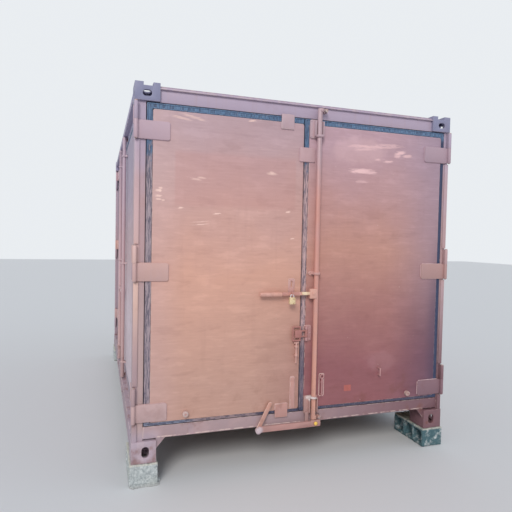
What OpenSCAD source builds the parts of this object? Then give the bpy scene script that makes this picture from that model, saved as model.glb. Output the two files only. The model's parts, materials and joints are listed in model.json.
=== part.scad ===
// Small rail freight container with doors in one end and one side, on hollow concrete blocks.
// Seen from the door end: +X right, +Y away from the viewer, +Z up.
// The origin is the bottom centre of the overall box.
// Modules are drawn from the bottom centre of the door end plane and moved there by in_place().

/* [Container] */
// Width over the corner fittings
body_w = 2450; // [2300:10:2600]
// Length over the corner fittings
body_l = 3715; // [3400:5:4200]
// Height over the corner fittings
body_h = 2500; // [2350:10:2700]
// Thickness of the pressed wall and roof sheets
sheet_t = 4; // [2:0.5:6]
// Wall of the hollow posts and rails
section_t = 6; // [4:0.5:8]

/* [Corner fittings] */
// Width of a fitting across the container
fit_w = 162; // [150:1:180]
// Length of a fitting along the container
fit_l = 178; // [165:1:190]
// Height of a bottom fitting
fit_bottom_h = 145; // [130:1:160]
// Height of a top fitting with its lugs
fit_top_h = 118; // [105:1:130]
// Height of the two lugs on a top fitting
lug_h = 22; // [15:1:30]
// Width of the oval end hole in a bottom fitting
oval_w = 50; // [40:1:60]
// Height of the oval end hole in a bottom fitting
oval_h = 76; // [66:1:90]
// Wall of a fitting
fit_wall = 24; // [16:1:28]

/* [Frame] */
// Underside of the end sill over the feet of the fittings
sill_bottom = 157; // [150:1:170]
// Top of the sill and the floor
floor_top = 238; // [220:1:255]
// Height of the header
header_h = 100; // [80:5:120]
// Depth of the header's top under the tops of the lugs
header_drop = 20; // [10:1:40]
// Depth of the end frame, front to back
frame_d = 96; // [80:1:110]
// Width of the front left post, which carries two doors
left_post_w = 70; // [60:1:85]
// Width of the front right post
right_post_w = 37; // [34:1:55]
// Thickness of the floor
floor_t = 28; // [18:1:36]

/* [Doors] */
// Thickness of a door leaf
leaf_t = 50; // [40:1:56]
// Gap that the rubber seal fills round a leaf
seal_w = 42; // [36:1:48]
// Clearance between a seal and the frame
seal_gap = 5; // [4:0.5:6]
// Width of the middle seal between the two end leaves
mid_seal_w = 35; // [30:1:40]
// Clearance of the middle seal from the other leaf
mid_gap = 8; // [7:0.5:10]
// Place of the meeting edge of the right end leaf
end_meeting_x = 5; // [-20:1:30]
// Depth of the end leaves behind the end plane
end_leaf_y = 10; // [8:0.5:12]
// Depth of the side leaves behind the side plane
side_leaf_in = 37; // [34:1:45]

/* [Hinges] */
// Radius of a hinge pin
pin_r = 7; // [5:0.5:8]
// Outer radius of a hinge knuckle
knuckle_r = 13; // [12:0.5:14]
// Radial clearance of a pin or lock rod in its bore
pin_fit = 0.06; // [0.02:0.01:0.1]
// Height of a strap knuckle
strap_h = 118; // [100:1:130]
// Length of a strap on the leaf
strap_l = 200; // [150:5:260]
// Thickness of straps and cover plates
plate_t = 8; // [6:0.5:9]

/* [Lock rods] */
// Radius of a lock rod
rod_r = 17; // [14:0.5:18]
// Place of the end lock rod
end_rod_x = 71; // [66:1:80]
// Distance of a side lock rod from the middle of the side
side_rod_off = 365; // [300:5:500]
// Foot of the end lock rod over the underside of the sill
end_rod_foot = 29; // [25:1:34]
// Depth of the rod heads under the top of the header
rod_drop = 32; // [30:1:40]
// Height of the end handle
handle_z = 1113; // [1000:1:1200]
// Reach of the end handle beyond the middle
handle_reach = 363; // [330:1:400]
// Height of the side handles
side_handle_z = 960; // [900:1:1100]
// Place of the padlock
lock_x = -128; // [-160:1:-100]

/* [Latch and bottom bar] */
// Place of the latch pin
latch_x = 6; // [0:1:12]
// Height of the middle of the latch
latch_mid = 820; // [780:1:900]
// Height of the latch plate
latch_h = 110; // [96:1:120]
// Place of the drop pin under the latch
drop_x = -70; // [-80:1:-60]
// Height of the bottom bar's bolts
bar_z = 144; // [140:1:146]
// Place of the free end of the bottom bar
bar_x0 = -354; // [-400:1:-300]

/* [Stand] */
// Height of a hollow concrete block
block_h = 150; // [100:10:200]
// Width of a block across the container
block_w = 190; // [180:5:200]
// Length of a block along the container
block_l = 390; // [300:10:400]
// Thickness of the block's outer walls
block_wall = 28; // [22:1:34]

/* [Hidden] */

$fn = 32;
paint = "#8f5a4e";
paint_light = "#b07d6c";
paint_dark = "#7d4a44";
rubber = "#3d4450";
concrete = "#a9a79c";
galvanised = "#b8b2ae";
brass = "#c9a94a";
timber = "#9a7a55";

// How far the block stands out beyond the fitting it carries, and how far the padlock stands out
block_out = (block_w - fit_w) / 2;
block_ahead = 10;
handle_y = -24;
front_out = 37 - handle_y;
end_y = front_out - (body_l + block_ahead + front_out) / 2;

half_w = body_w / 2;
skin_in = 3;
strip_w = 30;
strip_gap = 10;
post_x = half_w - skin_in;
frame_y = 16;
frame_back = frame_y + frame_d;
rail_h = 44;
// Stop strips behind the seals
stop_gap = 6;
stop_t = 8;
stop_w = 24;
header_top = body_h - header_drop;
header_bottom = header_top - header_h;
roof_z = header_top + 2;
lip_out = 14;
lip_t = 8;
gusset_w = 62;
gusset_h = 72;
gusset_t = 8;

// Corner fittings: end holes, deck slots and lugs
oval_x = 91;
window_x = 79;
window = [42, 60];
foot_slot = [62, 110];
head_slot = [50, 110];
lug_outer_w = 55;
lug_inner_w = 45;

// Opening of the end frame and of the side frame
jamb_left = -post_x + left_post_w;
jamb_right = post_x - right_post_w;
stop_y = end_leaf_y + leaf_t + stop_gap;
side_y0 = frame_back;
side_y1 = body_l - frame_back;
side_mid = (side_y0 + side_y1) / 2;

// Leaves
leaf_z0 = floor_top + seal_w - 15;
leaf_z1 = header_bottom - seal_w - 3;
leaf_h = leaf_z1 - leaf_z0;
left_x0 = jamb_left + seal_w + 3;
left_x1 = end_meeting_x - mid_seal_w - mid_gap;
right_x0 = end_meeting_x;
right_x1 = jamb_right - seal_w + 7;
side_face = -half_w + side_leaf_in;
side_back = side_face + leaf_t;
near_y0 = side_y0 + seal_w + 1;
near_y1 = side_mid - mid_gap - mid_seal_w / 2;
far_y0 = side_mid + mid_seal_w / 2;
far_y1 = side_y1 - seal_w - 1;

// Hinges: height of each strap's foot, and the pin centres
strap_feet = [leaf_z0 + 10, leaf_z0 + leaf_h * 0.4575, leaf_z1 - 80 - strap_h];
post_knuckle_h = strap_h - 4;
end_pin_x = half_w - 8;
end_pin_y = -10;
side_pin_x = -half_w + 11;
side_pin_off = side_y0 + 14;
washer = 1;
strap_in = 20;
bridge_l = 40;
// Heights left free by the outer strips of the front posts
gaps = [for (z = strap_feet) [z - strip_gap, z + strap_h + post_knuckle_h + strip_gap + 2]];

// Plates, bumpers and pull on the end leaves
leaf_corner = 14;
rim = 60;
rim_d = 10;
cover_x = -215;
cover_w = 97;
bumper_l = 26;
hook_x = 147;
pull_x = 632;
pull_z = 470;

// Lock rods
rod_y = -20;
side_rod_x = -half_w + 9;
side_rod_ys = [side_mid - side_rod_off, side_mid + side_rod_off];
rod_head = header_top - rod_drop;
rod_foot = sill_bottom + end_rod_foot;
side_rod_head = rod_head - 20;
side_rod_foot = sill_bottom + 6;
side_hub = 70;
side_bar_l = 180;
side_grip_l = 110;
guide_t = 16;
guide_r = rod_r + 10;
cam_r = 19;
cam_off = 7;
cam_h = 24;
keeper_w = 28;
// Rings on a rod: over the foot of the leaf, in the middle and under its head
foot_ring_z = leaf_z0 + 76;
mid_ring_z = strap_feet[1] + 40;
head_ring_z = leaf_z1 - 91;
side_ring_feet = [leaf_z0 + 35, mid_ring_z - 12, head_ring_z];

// Base plates of the rod housings, and the handle
base_in = 66;
base_out = 34;
grip_r = 16;
lock_y = handle_y - 26;

// Latch, drop pin and bottom bar
latch_y = -8;
latch_z0 = latch_mid - latch_h / 2;
latch_z1 = latch_mid + latch_h / 2;
latch_pin_r = 5;
latch_knuckle_r = 10;
latch_knuckle_h = 24;
wire_r = 5;
pin_wire_r = 6;
drop_top = latch_z0 - 13;
drop_l = 146;
bar_y = -22;
bar_half = 8;
bar_lo = 13;
bar_hi = 28;
bar_x1 = end_rod_x + 54;
lever_slant = 63;

// Lift truck pockets
fork_w = 300;
fork_z = [32, 138];
fork_ys = [side_mid - 450, side_mid + 450];
rail_z0 = 20;
rail_w = 80;
right_rail_w = 60;
rail_top = sill_bottom - 7;
members = 8;
wall_depth = 36;
wall_bays = 13;
rear_bays = 8;
roof_bays = 14;
roof_depth = 14;
roof_lap = 12;
roof_in = 30;
right_rail_top_w = 64;
flange_w = 44;

// Shapes

module in_place() { translate([0, end_y, block_h]) children(); }

module box(lo, hi) { translate(lo) cube(hi - lo); }

module rod_z(x, y, z0, z1, r) { translate([x, y, z0]) cylinder(h = z1 - z0, r = r); }

module rod_y_(x, z, y0, y1, r) { translate([x, y0, z]) rotate([-90, 0, 0]) cylinder(h = y1 - y0, r = r); }

module rod_x(y, z, x0, x1, r) { translate([x0, y, z]) rotate([0, 90, 0]) cylinder(h = x1 - x0, r = r); }

// Mirrors its children to the rear or the other side while keeping the original
module both_ends() {
    children();
    translate([0, body_l, 0]) mirror([0, 1, 0]) children();
}

module both_sides() {
    children();
    mirror([1, 0, 0]) children();
}

module rear_copy() { translate([0, 2 * side_mid, 0]) mirror([0, 1, 0]) children(); }

// Hollow box section between two corners, open at its ends along the given axis
module tube(lo, hi, axis) {
    t = section_t;
    cut_lo = [axis == 0 ? -1 : t, axis == 1 ? -1 : t, axis == 2 ? -1 : t];
    difference() {
        box(lo, hi);
        box(lo + cut_lo, hi - cut_lo);
    }
}

// Flat plate in the plane of the end doors, with rounded corners, from y0 towards the viewer
module end_plate(x0, x1, z0, z1, y0, t, r) {
    translate([0, y0, 0]) rotate([90, 0, 0]) linear_extrude(t) rounded(x0, x1, z0, z1, r);
}

// Flat plate in the plane of the side doors, from x0 outwards, with rounded corners
module side_plate(y0, y1, z0, z1, x0, t, r) {
    translate([x0, 0, 0]) rotate([90, 0, -90]) linear_extrude(t)
        mirror([1, 0, 0]) rounded(y0, y1, z0, z1, r);
}

module rounded(x0, x1, z0, z1, r) {
    translate([x0 + r, z0]) square([x1 - x0 - 2 * r, z1 - z0]);
    translate([x0, z0 + r]) square([x1 - x0, z1 - z0 - 2 * r]);
    for (x = [x0 + r, x1 - r], z = [z0 + r, z1 - r]) translate([x, z]) circle(r);
}

// Slot outline, upright, centred on the origin
module upright_slot(w, h) {
    square([w, h - w], center = true);
    for (s = [-1, 1]) translate([0, s * (h - w) / 2]) circle(w / 2);
}

// Pressed sheet: outer flat, slope, inner flat, slope, repeated, and an outer flat at the end
function wave(run, bays, depth) = [for (i = [0 : bays - 1]) let (p = run / (bays + 0.26)) each [
    [i * p, 0], [(i + 0.26) * p, 0], [(i + 0.5) * p, depth], [(i + 0.76) * p, depth]],
    [run * bays / (bays + 0.26), 0], [run, 0]];

module pressed_sheet(run, bays, depth, t) {
    line = wave(run, bays, depth);
    n = len(line);
    polygon(concat(line, [for (i = [n - 1 : -1 : 0]) line[i] + [0, t]]));
}

// Stand

module hollow_block() {
    hole_l = (block_l - 4 * block_wall) / 3;
    difference() {
        box([0, 0, 0], [block_w, block_l, block_h]);
        for (i = [0 : 2]) translate([-1, block_wall + i * (hole_l + block_wall), block_wall])
            cube([block_w + 2, hole_l, block_h - 2 * block_wall]);
    }
}

module stand_blocks() {
    color(concrete) in_place() both_ends() both_sides()
        translate([-half_w - block_out, -block_ahead, -block_h]) hollow_block();
}

// Corner fittings

module bottom_fittings() {
    color(paint) in_place() both_ends() both_sides() difference() {
        box([-half_w, 0, 0], [-half_w + fit_w, fit_l, fit_bottom_h]);
        box([-half_w + fit_wall, fit_wall, fit_wall],
            [-half_w + fit_w - fit_wall, fit_l - fit_wall, fit_bottom_h - fit_wall]);
        translate([-half_w + oval_x, fit_wall + 1, fit_bottom_h / 2]) rotate([90, 0, 0])
            linear_extrude(fit_wall + 2) upright_slot(oval_w, oval_h);
        translate([-half_w - 1, fit_l / 2, fit_bottom_h / 2]) rotate([90, 0, 90])
            linear_extrude(fit_wall + 2) upright_slot(oval_w, oval_h);
        translate([-half_w + fit_w / 2, fit_l / 2, -1]) linear_extrude(fit_wall + 2)
            upright_slot(foot_slot[0], foot_slot[1]);
    }
}

module top_fittings() {
    z0 = body_h - fit_top_h;
    z1 = body_h - lug_h;
    color(paint) in_place() both_ends() both_sides() difference() {
        union() {
            box([-half_w, 0, z0], [-half_w + fit_w, fit_l, z1]);
            box([-half_w, 0, z1], [-half_w + lug_outer_w, fit_l, body_h]);
            box([-half_w + fit_w - lug_inner_w, 0, z1], [-half_w + fit_w, fit_l, body_h]);
        }
        box([-half_w + fit_wall, fit_wall, z0 + fit_wall / 2],
            [-half_w + fit_w - fit_wall, fit_l - fit_wall, z1 - fit_wall / 2]);
        translate([-half_w + window_x, fit_wall + 1, (z0 + z1) / 2]) rotate([90, 0, 0])
            linear_extrude(fit_wall + 2) rotate(90) upright_slot(window[0], window[1]);
        translate([-half_w - 1, fit_l / 2, (z0 + z1) / 2]) rotate([90, 0, 90])
            linear_extrude(fit_wall + 2) rotate(90) upright_slot(window[0], window[1]);
        translate([-half_w + fit_w / 2 + 5, fit_l / 2, z1 - fit_wall]) linear_extrude(fit_wall + 2)
            upright_slot(head_slot[0], head_slot[1]);
    }
}

// Frame

module left_post() {
    z0 = fit_bottom_h;
    z1 = body_h - fit_top_h;
    tube([-post_x, frame_y, z0], [jamb_left, frame_back, z1], 2);
    box([jamb_left, stop_y, floor_top], [jamb_left + stop_w + 6, stop_y + stop_t, header_bottom]);
    // Outer strip between the hinges
    for (i = [0 : 3]) box([-post_x, end_leaf_y - 6, i == 0 ? z0 : gaps[i - 1][1]],
        [-post_x + strip_w, frame_y, i == 3 ? z1 : gaps[i][0]]);
}

module front_left_post() { color(paint) in_place() left_post(); }

module front_right_post() {
    z0 = fit_bottom_h;
    z1 = body_h - fit_top_h;
    color(paint) in_place() {
        tube([jamb_right, frame_y, z0], [post_x, frame_back, z1], 2);
        box([jamb_right - stop_w, stop_y, floor_top], [jamb_right, stop_y + stop_t, header_bottom]);
        for (i = [0 : 3]) box([post_x - strip_w, end_leaf_y - 6, i == 0 ? z0 : gaps[i - 1][1]],
            [post_x, frame_y, i == 3 ? z1 : gaps[i][0]]);
    }
}

module rear_left_post() {
    color(paint) in_place() tube([-post_x, side_y1, fit_bottom_h],
        [jamb_left, body_l - skin_in, body_h - fit_top_h], 2);
}

module rear_right_post() {
    color(paint) in_place() tube([post_x - left_post_w, side_y1, fit_bottom_h],
        [post_x, body_l - skin_in, body_h - fit_top_h], 2);
}

module end_header() {
    x1 = half_w - fit_w;
    color(paint) in_place() {
        tube([-x1, frame_y, header_bottom], [x1, frame_back, header_top], 0);
        box([-x1, stop_y, header_bottom - stop_w], [x1, stop_y + stop_t, header_bottom]);
    }
}

// Rain lip along the top edge of the header
module header_lip() {
    x1 = half_w - fit_w;
    z1 = header_top - 10;
    color(paint) in_place() box([-x1, frame_y - lip_out, z1 - lip_t], [x1, frame_y, z1]);
}

module end_sill() {
    fx = half_w - fit_w;
    color(paint) in_place() {
        tube([jamb_left, frame_y, sill_bottom], [jamb_right, frame_back, floor_top], 0);
        box([-fx, frame_y - 4, sill_bottom], [fx, frame_y, sill_bottom + 8]);
        // Gussets down to the inner faces of the bottom fittings
        for (s = [-1, 1]) scale([s, 1, 1]) translate([0, frame_y + gusset_t, 0])
            rotate([90, 0, 0]) linear_extrude(gusset_t)
                polygon([[-fx, sill_bottom - gusset_h], [-fx, sill_bottom], [-fx + gusset_w, sill_bottom]]);
    }
}

module rear_header() {
    x1 = half_w - fit_w;
    color(paint) in_place() tube([-x1, side_y1, header_bottom],
        [x1, body_l - skin_in, header_top], 0);
}

module rear_sill() {
    color(paint) in_place() tube([jamb_left, side_y1, sill_bottom],
        [post_x - left_post_w, body_l - skin_in, floor_top], 0);
}

// The rail over the side doors stands out over the set-back lintel
module left_top_rail() {
    color(paint) in_place()
        box([-post_x, fit_l, header_top - rail_h], [side_back + 20, body_l - fit_l, roof_z - sheet_t]);
}

// Lintel over the side doors, with the stop strip that their seal closes on
module left_lintel() {
    color(paint) in_place() {
        box([side_face + 3, fit_l, header_bottom], [side_back + 20, body_l - fit_l, header_top - rail_h]);
        box([side_back + stop_gap, side_y0, header_bottom - stop_w],
            [side_back + stop_gap + stop_t, side_y1, header_bottom]);
    }
}

module right_top_rail() {
    color(paint) in_place() tube([post_x - right_rail_top_w, fit_l, header_bottom],
        [post_x, body_l - fit_l, roof_z - sheet_t], 1);
}

module fork_holes(x0, x1) {
    for (y = fork_ys) box([x0, y - fork_w / 2, fork_z[0]], [x1, y + fork_w / 2, fork_z[1]]);
}

module left_bottom_rail() {
    color(paint) in_place() difference() {
        union() {
            box([-post_x, fit_l, rail_z0], [-post_x + rail_w, body_l - fit_l, rail_top]);
            box([side_face + 3, side_y0, rail_top], [-post_x + rail_w, side_y1, floor_top]);
        }
        fork_holes(-post_x - 1, -post_x + rail_w + 1);
    }
}

module right_bottom_rail() {
    color(paint) in_place() difference() {
        union() {
            box([post_x - right_rail_w, fit_l, rail_z0], [post_x, body_l - fit_l, rail_top]);
            box([post_x - right_rail_w, side_y0, rail_top], [post_x, side_y1, floor_top]);
        }
        fork_holes(post_x - right_rail_w - 1, post_x + 1);
    }
}

// Two box tunnels that join the fork pockets under the floor
module fork_tunnels() {
    t = section_t;
    color(paint_dark) in_place() for (y = fork_ys) difference() {
        box([-post_x + rail_w, y - fork_w / 2 - t, fork_z[0] - t],
            [post_x - right_rail_w, y + fork_w / 2 + t, fork_z[1] + t]);
        box([-post_x + rail_w - 1, y - fork_w / 2, fork_z[0]],
            [post_x - right_rail_w + 1, y + fork_w / 2, fork_z[1]]);
    }
}

module cross_members() {
    x0 = -post_x + rail_w;
    x1 = post_x - right_rail_w;
    z0 = fork_z[1] + section_t;
    z1 = floor_top - floor_t;
    t = section_t;
    bay = (side_y1 - side_y0) / (members + 1);
    color(paint_dark) in_place() for (i = [1 : members]) let (y = side_y0 + i * bay) {
        box([x0, y - flange_w / 2, z1 - t], [x1, y + flange_w / 2, z1]);
        box([x0, y - t / 2, z0 + t], [x1, y + t / 2, z1 - t]);
        box([x0, y - flange_w / 2, z0], [x1, y + flange_w / 2, z0 + t]);
    }
}

module floor() {
    color(timber) in_place() box([-post_x + rail_w, frame_back, floor_top - floor_t],
        [post_x - right_rail_w, side_y1, floor_top]);
}

module roof() {
    run = body_l - 2 * fit_l;
    x1 = half_w - fit_w + roof_in;
    color(paint) in_place() {
        translate([x1, fit_l, roof_z]) rotate([90, 0, -90]) mirror([1, 0, 0]) mirror([0, 1, 0])
            linear_extrude(2 * x1) pressed_sheet(run, roof_bays, roof_depth, sheet_t);
        for (s = [-1, 1]) scale([s, 1, 1])
            box([x1, fit_l, roof_z - sheet_t], [post_x, body_l - fit_l, roof_z]);
        for (y = [[frame_y, fit_l + roof_lap], [body_l - fit_l - roof_lap, body_l - skin_in]])
            box([-half_w + fit_w, y[0], header_top], [half_w - fit_w, y[1], header_top + sheet_t]);
    }
}

module right_wall() {
    color(paint) in_place() translate([post_x - 6, side_y0, floor_top]) rotate([0, 0, 90])
        linear_extrude(header_bottom - floor_top)
            pressed_sheet(side_y1 - side_y0, wall_bays, wall_depth, sheet_t);
}

module rear_wall() {
    run = post_x - left_post_w - jamb_left;
    color(paint) in_place() translate([-jamb_left, body_l - 12, floor_top]) rotate([0, 0, 180])
        linear_extrude(header_bottom - floor_top) pressed_sheet(run, rear_bays, wall_depth, sheet_t);
}

// Hinges

// One strap with its knuckle, at the left end post: the strap's foot is at z = 0
module end_strap() {
    x0 = -end_pin_x;
    y0 = end_leaf_y - plate_t;
    difference() {
        union() {
            end_plate(x0 + strap_in, x0 + strap_in + strap_l, 0, strap_h, end_leaf_y, plate_t, 12);
            box([x0 + 2, y0, 0], [x0 + bridge_l, y0 + plate_t - 1, strap_h]);
            box([x0, end_pin_y, 0], [x0 + knuckle_r, end_leaf_y - 1, strap_h]);
            rod_z(x0, end_pin_y, 0, strap_h, knuckle_r);
        }
        rod_z(x0, end_pin_y, -1, strap_h + 1, pin_r + pin_fit);
    }
}

// One fixed knuckle at the left end post, welded to the outer strip of the post
module end_post_knuckle() {
    difference() {
        union() {
            rod_z(-end_pin_x, end_pin_y, 0, post_knuckle_h, knuckle_r);
            box([-post_x, end_pin_y, 0], [-end_pin_x + knuckle_r, frame_y, post_knuckle_h]);
        }
        rod_z(-end_pin_x, end_pin_y, -1, post_knuckle_h + 1, pin_r + pin_fit);
    }
}

module side_strap() {
    x0 = side_face;
    y0 = side_pin_off;
    difference() {
        union() {
            side_plate(y0 + strap_in, y0 + strap_in + strap_l, 0, strap_h, x0, plate_t, 12);
            box([x0 - 2 * plate_t, y0, 0], [x0 - 1, y0 + bridge_l, strap_h]);
            rod_z(side_pin_x, y0, 0, strap_h, knuckle_r);
        }
        rod_z(side_pin_x, y0, -1, strap_h + 1, pin_r + pin_fit);
    }
}

module side_post_knuckle() {
    difference() {
        union() {
            rod_z(side_pin_x, side_pin_off, 0, post_knuckle_h, knuckle_r);
            box([-post_x, side_y0, 0], [side_pin_x + knuckle_r, side_pin_off, post_knuckle_h]);
        }
        rod_z(side_pin_x, side_pin_off, -1, post_knuckle_h + 1, pin_r + pin_fit);
    }
}

module at_straps() { for (z = strap_feet) translate([0, 0, z]) children(); }

// On the side the post's knuckle is below and the strap above it
module at_side_straps() { at_straps() translate([0, 0, post_knuckle_h + washer]) children(); }

module post_knuckles() {
    color(paint) in_place() at_straps() {
        translate([0, 0, strap_h + washer]) both_sides() end_post_knuckle();
        side_post_knuckle();
        rear_copy() side_post_knuckle();
    }
}

module hinge_pin() {
    rod_z(0, 0, -6, strap_h + post_knuckle_h + 6, pin_r);
    rod_z(0, 0, strap_h + post_knuckle_h + washer, strap_h + post_knuckle_h + 7, pin_r + 4);
}

module hinge_pins() {
    color(galvanised) in_place() at_straps() {
        for (s = [-1, 1]) translate([s * end_pin_x, end_pin_y, 0]) hinge_pin();
        translate([side_pin_x, side_pin_off, 0]) hinge_pin();
        rear_copy() translate([side_pin_x, side_pin_off, 0]) hinge_pin();
    }
}

// Keepers beside the rod ends: a lug with a round boss
module end_keeper(z) {
    x = end_rod_x + cam_off + cam_r + 6;
    box([x, rod_y, z - 12], [x + keeper_w, frame_y, z + 12]);
    rod_y_(x + 13, z, rod_y - 14, frame_y - 4.5, 12);
}

module side_keeper(y, z) {
    box([side_rod_x, y + 33, z - 14], [side_face + 3, y + 33 + keeper_w, z + 14]);
    rod_x(y + 47, z, side_rod_x - 12, side_face + 3, 13);
}

module lock_keepers() {
    color(galvanised) in_place() {
        end_keeper(rod_head - 12);
        end_keeper(rod_foot + 14);
        for (y = side_rod_ys, z = [side_rod_head - 14, side_rod_foot + 15]) side_keeper(y, z);
    }
}

// End doors

// Leaf with flat outer sheet; the inner face is a frame round a set-back lining
module end_leaf(x0, x1) {
    difference() {
        end_plate(x0, x1, leaf_z0, leaf_z1, end_leaf_y + leaf_t, leaf_t, leaf_corner);
        box([x0 + rim, end_leaf_y + leaf_t - rim_d, leaf_z0 + rim],
            [x1 - rim, end_leaf_y + leaf_t + 1, leaf_z1 - rim]);
    }
}

// Seal round a leaf: x0 to x1 is its outer outline, which covers the leaf's edge where they are equal
module end_seal(x0, x1, leaf_x0, leaf_x1) {
    z0 = floor_top + seal_gap;
    z1 = header_bottom - seal_gap;
    y1 = end_leaf_y + leaf_t - 5;
    difference() {
        end_plate(x0, x1, z0, z1, y1, leaf_t - 9, 10);
        box([leaf_x0, end_leaf_y - 5, leaf_z0], [leaf_x1, y1 + 1, leaf_z1]);
    }
}

module left_end_leaf() { color(paint_light) in_place() end_leaf(left_x0, left_x1); }

module left_end_seal() {
    color(rubber) in_place() end_seal(jamb_left + seal_gap, left_x1, left_x0, left_x1 + 30);
}

module left_end_straps() { color(paint) in_place() at_straps() end_strap(); }

// A round rubber bumper on a leaf
module bumper(x, z) { rod_y_(x, z, end_leaf_y - bumper_l, end_leaf_y, 19); }

// Cover plates over the seals, holding strip, slotted plate over the padlock and bumper
module left_end_plates() {
    y = end_leaf_y;
    slot_x = lock_x + 16;
    color(paint_light) in_place() {
        end_plate(cover_x, cover_x + cover_w, leaf_z1 - 49, header_bottom + 11, y, plate_t, 5);
        end_plate(cover_x - 6, cover_x - 6 + cover_w, floor_top - 24, leaf_z0 + 48, y, plate_t, 5);
        end_plate(left_x1 - 66, left_x1 - 34, leaf_z0 + 4, leaf_z0 + 238, y, plate_t - 1, 14);
        difference() {
            end_plate(slot_x - 22, slot_x + 22, handle_z + 4, handle_z + 107, y, plate_t, 20);
            translate([slot_x, y + 1, handle_z + 68]) rotate([90, 0, 0])
                linear_extrude(plate_t + 2) upright_slot(13, 46);
        }
        bumper(left_x0 + 236, leaf_z0 + 43);
    }
}

// T-shaped drop pin in its two rings
module drop_pin() {
    color(galvanised) in_place() {
        rod_z(drop_x, latch_y, drop_top - drop_l, drop_top, pin_wire_r);
        rod_x(latch_y, drop_top + 2, drop_x - 18, drop_x + 18, wire_r);
        for (z = [drop_top - 96, drop_top - 32]) difference() {
            union() {
                rod_z(drop_x, latch_y, z, z + 14, 11);
                box([drop_x - 11, latch_y, z], [drop_x + 11, end_leaf_y, z + 14]);
            }
            rod_z(drop_x, latch_y, z - 1, z + 15, pin_wire_r);
        }
    }
}

module right_end_leaf() { color(paint_dark) in_place() end_leaf(right_x0, right_x1); }

module right_end_seal() {
    color(rubber) in_place()
        end_seal(right_x0 - mid_seal_w, jamb_right - seal_gap, right_x0, right_x1);
}

module right_end_straps() { color(paint) in_place() at_straps() mirror([1, 0, 0]) end_strap(); }

// Ring round the lock rod on a foot that stands on the leaf
module end_ring(z) {
    difference() {
        union() {
            rod_z(end_rod_x, rod_y, z, z + guide_t, guide_r);
            box([end_rod_x - 35, -10, z], [end_rod_x + 35, end_leaf_y, z + guide_t]);
            box([end_rod_x - guide_r, rod_y, z], [end_rod_x + guide_r, 0, z + guide_t]);
        }
        rod_z(end_rod_x, rod_y, z - 1, z + guide_t + 1, rod_r + pin_fit);
    }
}

// Housing of the rod: a base plate with rounded corners and two cheeks, one on each side of the rod
module housing(z0, z1) {
    face = end_leaf_y - plate_t;
    end_plate(end_rod_x - base_in, end_rod_x + base_out, z0, z1, end_leaf_y, plate_t, 14);
    box([end_rod_x - guide_r - 9, rod_y - 6, z0 + 14], [end_rod_x - guide_r - 1, face + 1, z1 - 14]);
    box([end_rod_x + base_out - 8, rod_y - 6, z0 + 14], [end_rod_x + base_out, face + 1, z1 - 14]);
}

// Head housing, middle bracket and foot housing of the end lock rod, and the hanger of the bottom bar
module end_rod_guides() {
    foot_z0 = rod_foot + cam_h + 10;
    hang_x = end_rod_x - base_in + 6;
    hang_y = bar_y + bar_half;
    hang_w = 26;
    color(paint_light) in_place() difference() {
        union() {
            end_ring(head_ring_z);
            housing(head_ring_z - 6, header_bottom - 8);
            end_ring(mid_ring_z);
            end_plate(end_rod_x - base_in + 12, end_rod_x + base_out + 4, mid_ring_z - 8,
                mid_ring_z + guide_t + 8, end_leaf_y, plate_t, 14);
            end_ring(foot_ring_z);
            housing(foot_z0, foot_ring_z + guide_t);
            box([hang_x, hang_y, bar_z - bar_lo], [hang_x + hang_w, hang_y + plate_t, foot_z0 + 20]);
            box([hang_x, hang_y, foot_z0 + 4],
                [hang_x + hang_w, end_leaf_y - plate_t + 1, foot_z0 + 20]);
        }
        rod_z(end_rod_x, rod_y, rod_foot, rod_head, rod_r + pin_fit);
    }
}

// Cover plate over the middle seal, latch plate, hook rod with ring, pull and bumper
module right_end_plates() {
    y = end_leaf_y;
    cover_z = leaf_z1 - 269;
    color(paint_dark) in_place() {
        end_plate(-70, 47, cover_z, cover_z + 100, y - 0.5, plate_t - 0.5, 5);
        box([right_x0 + 3, y - plate_t, cover_z + 4], [44, y, cover_z + 96]);
        end_plate(right_x0 + 1, right_x0 + 45, latch_z0, latch_z1, y, plate_t, 5);
        for (z = [latch_z0 + 2, latch_z1 - 2 - latch_knuckle_h]) difference() {
            union() {
                rod_z(latch_x, latch_y, z, z + latch_knuckle_h, latch_knuckle_r);
                box([latch_x - 9, latch_y, z], [latch_x + 9, y, z + latch_knuckle_h]);
            }
            rod_z(latch_x, latch_y, z - 1, z + latch_knuckle_h + 1, latch_pin_r);
        }
        rod_z(latch_x, latch_y, latch_z0, latch_z1, latch_pin_r);
        hook_rod(hook_x, leaf_z0 + 78);
        // Small D-shaped pull
        for (z = [pull_z, pull_z + 50]) rod_y_(pull_x, z, -20, y, 6);
        rod_z(pull_x, -20, pull_z - 6, pull_z + 56, 6);
        bumper(right_x0 + 888, leaf_z0 + 38);
    }
}

// Short upright rod on two feet, with a ring on its head
module hook_rod(x, z) {
    rod_z(x, 0, z, z + 135, 6);
    for (h = [7, 97]) box([x - 7, 0, z + h], [x + 7, end_leaf_y, z + h + 14]);
    translate([x, 0, z + 147]) rotate([90, 0, 0]) rotate_extrude() translate([14, 0]) circle(5);
}

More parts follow.
